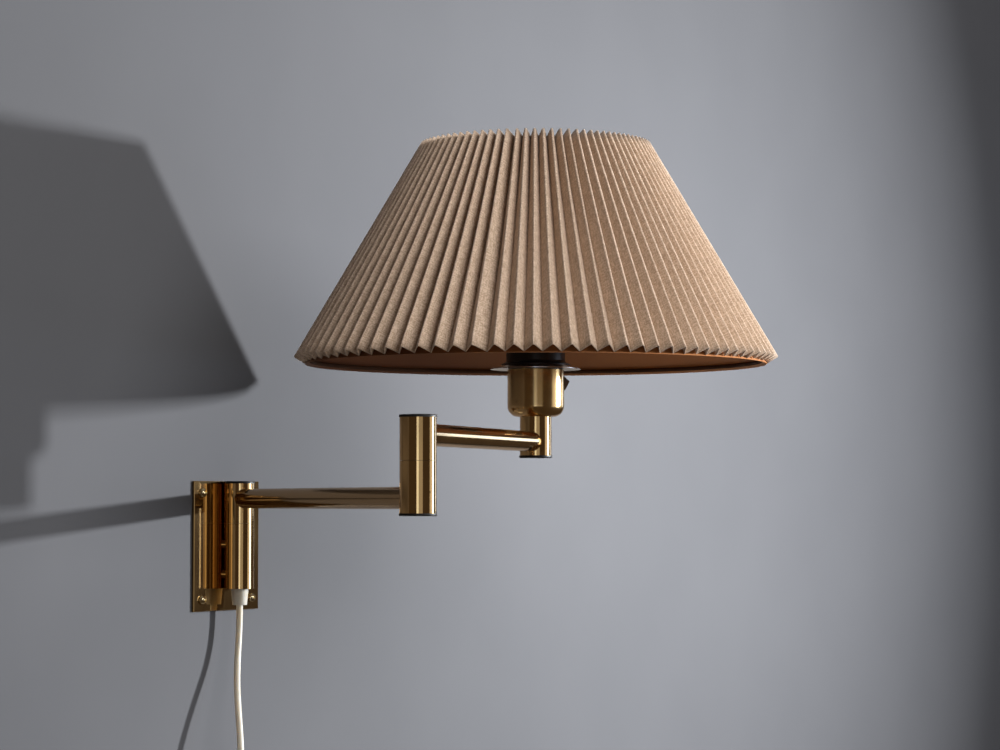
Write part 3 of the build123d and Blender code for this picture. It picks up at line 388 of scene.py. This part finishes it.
panel("window", (0.96, -1.29, 0.1), TUBES, (0.44, 0.5), 2.6, DAYLIGHT)
panel("window_glow", (0.72, -1.62, 0.1), TUBES, (0.8, 0.6), 0.9, NEUTRAL)
panel("far_window", (2.18, -0.54, 0.2), (0.0, -0.25, 0.09), (0.3, 0.36), 0.8, DAYLIGHT)
panel("ceiling", (0.2, -1.3, 2.1), (0.2, -1.0, 0.0), (3.2, 2.6), 4.6, OVERHEAD)

# %% Dim room
ROOM_GLOW = (1.0, 0.7, 0.46, 1.0)
ROOM_STRENGTH = 0.05
world = bpy.data.worlds.new("dim_room")
world.use_nodes = True
scene.world = world
room = world.node_tree.nodes["Background"]
room.inputs["Color"].default_value = ROOM_GLOW
room.inputs["Strength"].default_value = ROOM_STRENGTH
print("room strength", ROOM_STRENGTH)

# %% [markdown]
# ## Shared effects
# Two effects turn up on several finishes, so each is a node group with its own inputs.
# "drawn marks" is the fine grain that drawing and polishing leave on metal: noise pulled long in
# one direction. "age spots" is a sparse scatter of small dark dots with a slow clouding.

# %% Group for drawn marks
ALONG_MARKS = (1.0, 1.0, 0.02)


def new_group(name, inputs, outputs):
    group = bpy.data.node_groups.new(name, "ShaderNodeTree")
    for label, kind, value in inputs:
        socket = group.interface.new_socket(label, in_out="INPUT", socket_type=kind)
        if value is not None:
            socket.default_value = value
    for label, kind in outputs:
        group.interface.new_socket(label, in_out="OUTPUT", socket_type=kind)
    return group, add_node(group, "NodeGroupInput"), add_node(group, "NodeGroupOutput")


def drawn_marks_group():
    """Marks pulled along the Z of the vector: a roughness between two values, and a height."""
    group, given, made = new_group(
        "drawn marks",
        [
            ("Vector", "NodeSocketVector", None),
            ("Fine", "NodeSocketFloat", 900.0),
            ("Smooth", "NodeSocketFloat", 0.1),
            ("Rough", "NodeSocketFloat", 0.2),
        ],
        [("Roughness", "NodeSocketFloat"), ("Height", "NodeSocketFloat")],
    )
    pulled = scaled(group, given.outputs["Vector"], ALONG_MARKS)
    marks = noise_on(group, pulled, given.outputs["Fine"], 3.0)
    cloud = noise_on(group, given.outputs["Vector"], 45.0, 4.0)
    mask = remap(group, combine(group, "MULTIPLY", marks, cloud), 0.12, 0.45)
    rough = remap(group, mask, 0.0, 1.0, given.outputs["Smooth"], given.outputs["Rough"])
    feed(group, made.inputs["Roughness"], rough)
    feed(group, made.inputs["Height"], marks)
    return group


DRAWN_MARKS = drawn_marks_group()
print("group", DRAWN_MARKS.name)


# %% Group for age spots
def sparse_dots(group, vector, fine, share):
    """Soft round dots in a share of the cells of a pattern."""
    cells = add_node(group, "ShaderNodeTexVoronoi")
    feed(group, cells.inputs["Vector"], vector)
    feed(group, cells.inputs["Scale"], fine)
    edge = remap(group, cells.outputs["Distance"], 0.06, 0.16, 1.0, 0.0)
    pick = add_node(group, "ShaderNodeSeparateColor")
    feed(group, pick.inputs["Color"], cells.outputs["Color"])
    rare = combine(group, "LESS_THAN", pick.outputs["Red"], share)
    return combine(group, "MULTIPLY", edge, rare)


def slow_cloud(group, vector, scale, amount):
    cloud = add_node(group, "ShaderNodeTexNoise")
    feed(group, cloud.inputs["Vector"], vector)
    feed(group, cloud.inputs["Scale"], scale)
    cloud.inputs["Detail"].default_value = 6.0
    cloud.inputs["Roughness"].default_value = 0.6
    drift = remap(group, cloud.outputs["Fac"], 0.45, 0.75)
    return combine(group, "MULTIPLY", drift, amount)


def age_spots_group():
    """Sparse dots and slow clouds of tarnish, as one mask."""
    group, given, made = new_group(
        "age spots",
        [
            ("Vector", "NodeSocketVector", None),
            ("Dots", "NodeSocketFloat", 160.0),
            ("Dot Share", "NodeSocketFloat", 0.12),
            ("Cloud", "NodeSocketFloat", 22.0),
            ("Cloud Amount", "NodeSocketFloat", 0.35),
        ],
        [("Mask", "NodeSocketFloat")],
    )
    vector = given.outputs["Vector"]
    dots = sparse_dots(group, vector, given.outputs["Dots"], given.outputs["Dot Share"])
    cloud = slow_cloud(group, vector, given.outputs["Cloud"], given.outputs["Cloud Amount"])
    feed(group, made.inputs["Mask"], combine(group, "MAXIMUM", dots, cloud))
    return group


AGE_SPOTS = age_spots_group()
print("group", AGE_SPOTS.name)

# %% Placing a group
UNTURNED = (0.0, 0.0, 0.0)


def place_group(tree, group, vector, **values):
    placed = add_node(tree, "ShaderNodeGroup", node_tree=group)
    feed(tree, placed.inputs["Vector"], vector)
    for label, value in values.items():
        placed.inputs[label.replace("_", " ")].default_value = value
    return placed


def piece_vector(tree, turn=UNTURNED):
    """Places on the piece itself, turned so that its length lies along Z."""
    place = add_node(tree, "ShaderNodeTexCoord")
    turned = add_node(tree, "ShaderNodeMapping", vector_type="TEXTURE")
    turned.inputs["Rotation"].default_value = turn
    feed(tree, turned.inputs["Vector"], place.outputs["Object"])
    return turned.outputs["Vector"]


def bump_from(tree, surface, height, strength, distance):
    bump = add_node(tree, "ShaderNodeBump")
    bump.inputs["Strength"].default_value = strength
    bump.inputs["Distance"].default_value = distance
    feed(tree, bump.inputs["Height"], height)
    feed(tree, surface.inputs["Normal"], bump.outputs["Normal"])


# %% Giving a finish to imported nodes
def dress(material, *names):
    for name in names:
        slots = nodes[name].data.materials
        slots.clear()
        slots.append(material)


def nodes_in_slot(slot):
    return [s["node"] for s in frame["record"]["subparts"] if s["material_slot"] == slot]


def dress_slot(slot, finish, *values, **more):
    """Makes a finish that is named after a slot, and gives it to all nodes of that slot."""
    material = finish(slot, *values, **more)
    dress(material, *nodes_in_slot(slot))
    print(slot, "on", len(nodes_in_slot(slot)), "nodes")
    return material


# %% [markdown]
# ## Brass
# The tubes, the plate and the cup are polished brass under a thin lacquer. The lacquer keeps the
# shine but lets small dark dots through where it has broken. The polish runs along each tube,
# so the arms get the same finish as the posts, turned to lie along the arm.
# The plate and the lower arm get a darker copy of the brass: painted shade for the darker reflections they
# show.

# %% Brass and steel
BRASS = (0.80, 0.54, 0.245)
PLATE_SHADED_BRASS = (0.5, 0.335, 0.15)
TARNISH = (0.42, 0.27, 0.10)


def metal_finish(name, clean, worn, smooth, rough, turn=UNTURNED, coat=0.0):
    material, tree, surface = new_material(name)
    vector = piece_vector(tree, turn)
    marks = place_group(tree, DRAWN_MARKS, vector, Smooth=smooth, Rough=rough)
    spots = place_group(tree, AGE_SPOTS, vector)
    feed(tree, surface.inputs["Base Color"], mix_colours(tree, spots.outputs["Mask"], clean, worn))
    feed(tree, surface.inputs["Roughness"], marks.outputs["Roughness"])
    surface.inputs["Metallic"].default_value = 1.0
    surface.inputs["Coat Weight"].default_value = coat
    surface.inputs["Coat Roughness"].default_value = 0.06
    bump_from(tree, surface, marks.outputs["Height"], 0.03, 0.00005)
    return material


dress_slot("polished_brass", metal_finish, BRASS, TARNISH, 0.05, 0.12, coat=0.3)
dress_slot("turned_brass", metal_finish, (0.76, 0.58, 0.29), TARNISH, 0.22, 0.38)
dress_slot("screw_brass", metal_finish, (0.80, 0.67, 0.42), (0.3, 0.22, 0.12), 0.12, 0.26)
dress_slot("plain_steel", metal_finish, (0.62, 0.62, 0.61), (0.34, 0.31, 0.27), 0.28, 0.45)
dress_slot("bright_steel", metal_finish, (0.78, 0.78, 0.77), (0.52, 0.49, 0.45), 0.14, 0.27)
dress_slot("frame_wire", metal_finish, (0.80, 0.78, 0.73), (0.55, 0.47, 0.36), 0.3, 0.5)

# %% Plate, cup and arms
# The lower arm's darker brass is painted shade for its darker reflections.
LOWER_ARM_SHADED_BRASS = (0.5, 0.34, 0.155)
ARMS = {
    "lower_arm_tube": (radians(-124.0), LOWER_ARM_SHADED_BRASS),
    "upper_arm_tube": (radians(11.5), BRASS),
}
# The plate's darker brass is painted shade for its darker reflections.
dress(metal_finish("plate_shaded_brass", PLATE_SHADED_BRASS, TARNISH, 0.06, 0.09, coat=0.3), "wall_plate")
dress(metal_finish("spun_brass", BRASS, TARNISH, 0.16, 0.23, coat=0.3), "lampholder_cup")
for arm, (heading, tone) in ARMS.items():
    along_arm = (0.0, pi / 2, heading)
    dress(metal_finish("polished_" + arm, tone, TARNISH, 0.1, 0.16, along_arm, 0.2), arm)
print("own finish", ["wall_plate", "lampholder_cup", *ARMS])

# %% [markdown]
# ## Mouldings and vinyl
# The caps, the ring, the lampholder, the rocker, the grip and the plug are moulded plastic.
# Moulding leaves a very fine grain and a sheen that changes a little from place to place.
# Soft vinyl also lets light in below its skin, which evens out the light on the grip and the cord.

# %% Mouldings
MOULD_SPOTS = {"Dots": 420.0, "Dot_Share": 0.05, "Cloud": 60.0, "Cloud_Amount": 0.6}


def moulded_finish(name, colour, worn, smooth, rough, grain, coat=0.0, shine=0.5):
    material, tree, surface = new_material(name)
    vector = piece_vector(tree)
    spots = place_group(tree, AGE_SPOTS, vector, **MOULD_SPOTS).outputs["Mask"]
    grit = noise_on(tree, vector, 2600.0, 2.0)
    feed(tree, surface.inputs["Base Color"], mix_colours(tree, spots, colour, worn))
    feed(tree, surface.inputs["Roughness"], remap(tree, spots, 0.0, 1.0, smooth, rough))
    surface.inputs["Specular IOR Level"].default_value = shine
    surface.inputs["Coat Weight"].default_value = coat
    surface.inputs["Coat Roughness"].default_value = 0.12
    bump_from(tree, surface, grit, grain, 0.0001)
    return material


def mould(slot, colour, worn, smooth, rough, grain, **more):
    return dress_slot(slot, moulded_finish, colour, worn, smooth, rough, grain, **more)


mould("black_cap", (0.009, 0.008, 0.008), (0.02, 0.018, 0.016), 0.45, 0.6, 0.25, shine=0.25)
mould("black_ring", (0.006, 0.006, 0.007), (0.016, 0.015, 0.014), 0.34, 0.46, 0.1, coat=0.1)
mould("holder_moulding", (0.016, 0.014, 0.013), (0.035, 0.03, 0.026), 0.38, 0.55, 0.3)
mould("brown_rocker", (0.060, 0.028, 0.016), (0.10, 0.055, 0.035), 0.2, 0.34, 0.1, coat=0.4)
mould("friction_fibre", (0.42, 0.30, 0.20), (0.30, 0.20, 0.13), 0.7, 0.85, 0.4)
mould("tie_plastic", (0.70, 0.67, 0.60), (0.58, 0.53, 0.45), 0.4, 0.55, 0.2)
mould("opal_glass", (0.90, 0.89, 0.85), (0.84, 0.82, 0.76), 0.16, 0.24, 0.03, coat=0.5)

# %% Vinyl of the cord, the grip and the plug
VINYL_DEPTH = 0.008
ivory_vinyl = mould("ivory_vinyl", (0.55, 0.52, 0.455), (0.48, 0.44, 0.37), 0.36, 0.5, 0.15)
vinyl_surface = ivory_vinyl.node_tree.nodes["Principled BSDF"]
vinyl_surface.inputs["Subsurface Weight"].default_value = 0.7
vinyl_surface.inputs["Subsurface Radius"].default_value = (1.0, 0.85, 0.65)
vinyl_surface.inputs["Subsurface Scale"].default_value = VINYL_DEPTH
mains_cord.data.materials.append(ivory_vinyl)
print("light goes", VINYL_DEPTH, "m into the vinyl")

# %% [markdown]
# ## Pleated shade
# The shade is one long strip of laminated linen, folded into eighty-six pleats and closed into a cone.
# A plain zigzag with sharp corners would look like tin, so each fold is a small curve, the flat sides
# belly out a little, and no two pleats are quite alike. The mesh is written as a grid: one column of
# points for each place across a pleat, one row for each height up the slope, and a second grid behind it
# gives the sheet its thickness.

# %% Shade sizes
LAMP_AXIS = Vector((0.039464, -0.256815, 0.0))
RIDGE_BOTTOM = (0.1793, 0.141)  # radius and height
RIDGE_TOP = (0.0853, 0.301)
SLANT = hypot(RIDGE_TOP[0] - RIDGE_BOTTOM[0], RIDGE_TOP[1] - RIDGE_BOTTOM[1])
SLOPE = ((RIDGE_TOP[0] - RIDGE_BOTTOM[0]) / SLANT, (RIDGE_TOP[1] - RIDGE_BOTTOM[1]) / SLANT)
PLEATS = 86
SIDES = 2 * PLEATS
SIDE_WIDTH = 0.0102
PLEAT_DEEP = (0.0085, 0.0095)  # at the lower rim and at the upper rim
SHEET = 0.001
FOLD_RADIUS = 0.0009
ROWS = 27
STEPS = np.array([0.0, 0.1, 0.2, 0.3, 0.4, 0.44, 0.6, 0.8, 0.97])  # from a ridge to its valley
CURVE_END = 0.4  # the step where the fold's curve ends and the flat side starts
CURVE_SHARE = 0.1  # of a side's width
HEADING = radians(11.5)  # of the first ridge, so that a ridge lies where the model has one
CROWDED_AT = radians(253.0)  # the pleats sit closer together round this heading
CROWDED = 0.26
CROWDED_REACH = 0.45
SEAM_AT = radians(194.5)
SEAM_WIDE = 1.3
DEPTH_VARIES = 0.05
BELLY = 0.00022
DRIFT = 0.10  # of a side's width, to and fro
print("slant", round(SLANT, 4))


# %% Folds round the shade
def wobble(number, seed):
    """A repeatable value from -1 to 1 for each numbered fold."""
    return np.sin(number * 12.9898 + seed * 78.233) * np.cos(number * 4.1414 + seed * 3.7)


def seam_fold():
    """The side of a pleat that carries the seam: one that falls from its ridge."""
    return int((SEAM_AT - HEADING) / pi * PLEATS) // 2 * 2


def fold_turns():
    """Heading of every fold: the pleats crowd together on one side, and the seam's side is wide."""
    even = HEADING + pi * (np.arange(SIDES) + 0.5) / PLEATS
    wide = 1 / (1 + CROWDED * np.exp(-(((even - CROWDED_AT) / CROWDED_REACH) ** 2)))
    wide[seam_fold()] *= SEAM_WIDE
    return HEADING + 2 * pi * np.append(0.0, np.cumsum(wide)) / np.sum(wide)


print("seam on side", seam_fold(), "of", SIDES)


# %% Places across a fold
def fold_section(step, half, deep):
    """Share of the half pitch and depth at a step from the ridge: an arc first, then a flat side."""
    lean = np.arctan2(deep, half)
    for _ in range(6):
        lean = np.arctan2(deep - FOLD_RADIUS * (1 - np.cos(lean)), half - FOLD_RADIUS * np.sin(lean))
    turned = lean * np.minimum(step / CURVE_END, 1)
    flat = np.clip((step - CURVE_END) / (1 - CURVE_END), 0, 1)
    out = FOLD_RADIUS * np.sin(turned) + flat * (half - FOLD_RADIUS * np.sin(lean))
    down = FOLD_RADIUS * (1 - np.cos(turned)) + flat * (deep - FOLD_RADIUS * (1 - np.cos(lean)))
    return out / half, down


def steps_on_sides():
    """Steps from the ridge for every side: a falling side starts at its ridge, a rising one ends at it."""
    falling = STEPS
    rising = np.append(STEPS[1:], 1.0)[::-1]
    return np.tile(np.stack([falling, rising]), (PLEATS, 1))


def strip_places():
    """Where each column lies along the flat strip, from 0 to 1."""
    width = np.interp(steps_on_sides(), [0.0, CURVE_END, 1.0], [0.0, CURVE_SHARE, 1.0])
    width[1::2] = 1 - width[1::2]
    return np.append((np.arange(SIDES)[:, None] + width).ravel(), SIDES) / SIDES


print("columns", steps_on_sides().size)


# %% Folded sheet
def sheet_grid(inner):
    """Points of one face of the sheet, as an array of rows by columns."""
    fold = np.arange(SIDES)[None, :, None]
    up = np.linspace(0.0, 1.0, ROWS)[:, None, None]
    step = steps_on_sides()[None]
    turns = fold_turns()
    wide = np.diff(turns)[fold]
    ridge = RIDGE_BOTTOM[0] + up * SLANT * SLOPE[0]
    deep = PLEAT_DEEP[0] + (PLEAT_DEEP[1] - PLEAT_DEEP[0]) * up
    deep = deep * (1 + DEPTH_VARIES * wobble(fold // 2, 1.0))
    share, depth = fold_section(step, ridge * wide, deep)
    t = np.where(fold % 2 == 0, share, 1 - share)
    belly = BELLY * np.sin(pi * t) * np.sin(pi * up) * wobble(fold, 2.0)
    depth = depth + belly + (SHEET if inner else 0.0)
    here = wobble(fold, 3.0)
    after = wobble((fold + 1) % SIDES, 3.0)
    drift = (here + (after - here) * t) * DRIFT * np.sin(pi * (0.15 + 0.7 * up))
    turn = turns[fold] + (t + drift) * wide
    radius = ridge - depth * SLOPE[1]
    height = RIDGE_BOTTOM[1] + up * SLANT * SLOPE[1] + depth * SLOPE[0]
    grid = np.stack([radius * np.cos(turn), radius * np.sin(turn), height + 0 * turn], axis=-1)
    return grid.reshape(ROWS, -1, 3) + np.array(LAMP_AXIS)


def sheet_faces(rows, columns):
    """Faces of the two grids and the two rims, and the (column, row) of each of their corners."""
    behind = rows * columns
    top = (rows - 1) * columns
    faces = []
    spots = []
    for c in range(columns):
        n = (c + 1) % columns
        for r in range(rows - 1):
            a = r * columns
            b = a + columns
            faces.append((a + c, a + n, b + n, b + c))
            faces.append((behind + a + c, behind + b + c, behind + b + n, behind + a + n))
            spots += [(c, r), (c + 1, r), (c + 1, r + 1), (c, r + 1)]
            spots += [(c, r), (c, r + 1), (c + 1, r + 1), (c + 1, r)]
        faces.append((c, behind + c, behind + n, n))
        faces.append((top + c, top + n, behind + top + n, behind + top + c))
        spots += [(c, 0), (c, 0), (c + 1, 0), (c + 1, 0)]
        spots += [(c, rows - 1), (c + 1, rows - 1), (c + 1, rows - 1), (c, rows - 1)]
    return faces, np.array(spots)


def closed_sheet(name, outer, inner):
    """A mesh round the shade, with a map of the flat strip."""
    rows, columns = outer.shape[:2]
    points = np.concatenate([outer.reshape(-1, 3), inner.reshape(-1, 3)])
    faces, spots = sheet_faces(rows, columns)
    mesh = bpy.data.meshes.new(name)
    mesh.from_pydata(points.tolist(), [], faces)
    layer = mesh.uv_layers.new(name="strip")
    uv = np.stack([strip_places()[spots[:, 0]], spots[:, 1] / (rows - 1)], axis=-1)
    layer.data.foreach_set("uv", uv.astype(np.float32).ravel())
    mesh.polygons.foreach_set("use_smooth", [True] * len(mesh.polygons))
    mesh.update()
    piece = bpy.data.objects.new(name, mesh)
    scene.collection.objects.link(piece)
    return piece


cover = closed_sheet("pleated_linen_cover", sheet_grid(False), sheet_grid(True))
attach(cover, "upper_arm")
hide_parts("pleated_cover")
print("cover", len(cover.data.vertices), "points", len(cover.data.polygons), "faces")

# %% [markdown]
# ## Linen
# Close to, the cover is an open plain weave with thicker threads here and there. The flat strip's own
# map carries it, so the threads follow every fold. Flecks of darker fibre make it look speckled from
# further off. Ridges are painted paler, as rubbing and as a painted highlight, and the valleys darker,
# as dust and as painted shade.

# %% Wear and painted light on the folds
WEAR_AND_PAINTED_LIGHT = (
    (0.0, (1.0, 1.0, 1.0)),
    (0.06, (1.0, 0.99, 0.98)),
    (0.11, (0.93, 0.91, 0.89)),
    (0.84, (0.92, 0.90, 0.87)),
    (1.0, (0.7, 0.65, 0.6)),
)


def fold_wear_and_painted_light(tree, strip):
    """A tone across each side of a pleat: pale on the ridge, as wear and painted highlight, plain on the
    flat, darker in the valley, as dust and painted shade.
    """
    along = add_node(tree, "ShaderNodeSeparateXYZ")
    feed(tree, along.inputs["Vector"], strip)
    sides = combine(tree, "MULTIPLY", along.outputs["X"], SIDES)
    return ramp_colour(tree, combine(tree, "PINGPONG", sides, 1.0), *WEAR_AND_PAINTED_LIGHT)


# %% Weave
THREAD = 0.00045
SLUB_LONG = 160.0  # in a metre
SLUB_FINE = 1500.0
FLECKS = 850.0
WEAVE_SHARE = 0.25
LINEN = ((0.24, (0.46, 0.325, 0.225)), (0.76, (0.76, 0.595, 0.46)))


def threads(tree, flat, across):
    """Ridges of thread that follow each other in one direction."""
    waves = add_node(tree, "ShaderNodeTexWave", bands_direction=across)
    feed(tree, waves.inputs["Vector"], flat)
    waves.inputs["Scale"].default_value = pi / 10 / THREAD
    waves.inputs["Distortion"].default_value = 1.6
    waves.inputs["Detail"].default_value = 2.0
    waves.inputs["Detail Scale"].default_value = 1.5
    return waves.outputs["Fac"]


def woven_cloth(tree, flat):
    """Height of the weave, its thick threads and its flecks, as one value."""
    weave = combine(tree, "MULTIPLY", threads(tree, flat, "Y"), threads(tree, flat, "X"))
    weft = noise_on(tree, scaled(tree, flat, (SLUB_LONG, SLUB_FINE, 1.0)), 1.0, 3.0)
    warp = noise_on(tree, scaled(tree, flat, (SLUB_FINE, SLUB_LONG, 1.0)), 1.0, 3.0)
    flecks = noise_on(tree, flat, FLECKS, 2.0)
    speckled = combine(tree, "ADD", combine(tree, "ADD", weft, warp), flecks)
    return combine(tree, "MULTIPLY_ADD", weave, WEAVE_SHARE, speckled)


def linen():
    material, tree, surface = new_material("pleated_linen")
    strip = add_node(tree, "ShaderNodeUVMap", uv_map="strip").outputs["UV"]
    flat = scaled(tree, strip, (SIDES * SIDE_WIDTH, SLANT, 1.0))
    cloth = woven_cloth(tree, flat)
    tone = ramp_colour(tree, remap(tree, cloth, 1.2, 1.95), *LINEN)
    # The fold tone mixes real wear and dust with a painted highlight on the ridges and painted shade in
    # the valleys.
    worn = mix_colours(tree, 1.0, tone, fold_wear_and_painted_light(tree, strip), "MULTIPLY")
    feed(tree, surface.inputs["Base Color"], worn)
    surface.inputs["Roughness"].default_value = 0.85
    surface.inputs["Sheen Weight"].default_value = 0.25
    surface.inputs["Sheen Roughness"].default_value = 0.5
    surface.inputs["Specular IOR Level"].default_value = 0.3
    bump_from(tree, surface, cloth, 0.5, 0.00012)
    return material


cover.data.materials.append(linen())
print("threads in a metre", round(1 / THREAD))

# %% [markdown]
# ## Liner
# Inside the pleats is a smooth cone of laminated card. Age has browned it, and towards the side that
# the key lamp lights it is painted a lighter brown: a painted glow for light coming through the cloth. A
# brown tape closes its lower edge.

# %% Liner
GLOW_SIDE = (0.517, -0.856, 0.0)
GLOW_SPAN = (-0.45, 0.25)  # where the painted glow starts and ends, across the liner's box
BROWN_CARD = (0.18, 0.06, 0.015)
CARD_PAINTED_GLOW = (0.64, 0.26, 0.085)
CARD_STAIN = (0.8, 0.75, 0.7)
CARD_SPOTS = {"Dots": 240.0, "Dot_Share": 0.04, "Cloud": 14.0, "Cloud_Amount": 0.7}


def card_with_painted_glow(tree):
    """Brown on the wall's side, painted lighter towards the key lamp's side: a painted glow for light
    coming through the cloth.
    """
    place = add_node(tree, "ShaderNodeTexCoord")
    across = add_node(tree, "ShaderNodeVectorMath", operation="DOT_PRODUCT")
    feed(tree, across.inputs[0], place.outputs["Generated"])
    feed(tree, across.inputs[1], GLOW_SIDE)
    return mix_colours(tree, remap(tree, across.outputs["Value"], *GLOW_SPAN), BROWN_CARD, CARD_PAINTED_GLOW)


def shade_card():
    material, tree, surface = new_material("shade_card")
    vector = piece_vector(tree)
    spots = place_group(tree, AGE_SPOTS, vector, **CARD_SPOTS).outputs["Mask"]
    # The lighter side of the card is a painted glow, not a real fade.
    stained = mix_colours(tree, spots, card_with_painted_glow(tree), CARD_STAIN, "MULTIPLY")
    fibres = noise_on(tree, vector, 700.0, 4.0)
    feed(tree, surface.inputs["Base Color"], stained)
    feed(tree, surface.inputs["Roughness"], remap(tree, fibres, 0.0, 1.0, 0.42, 0.6))
    bump_from(tree, surface, fibres, 0.1, 0.0001)
    return material


dress(shade_card(), "shade_liner")
mould("rim_tape", (0.065, 0.028, 0.012), (0.047, 0.02, 0.008), 0.75, 0.9, 0.5, shine=0.15)
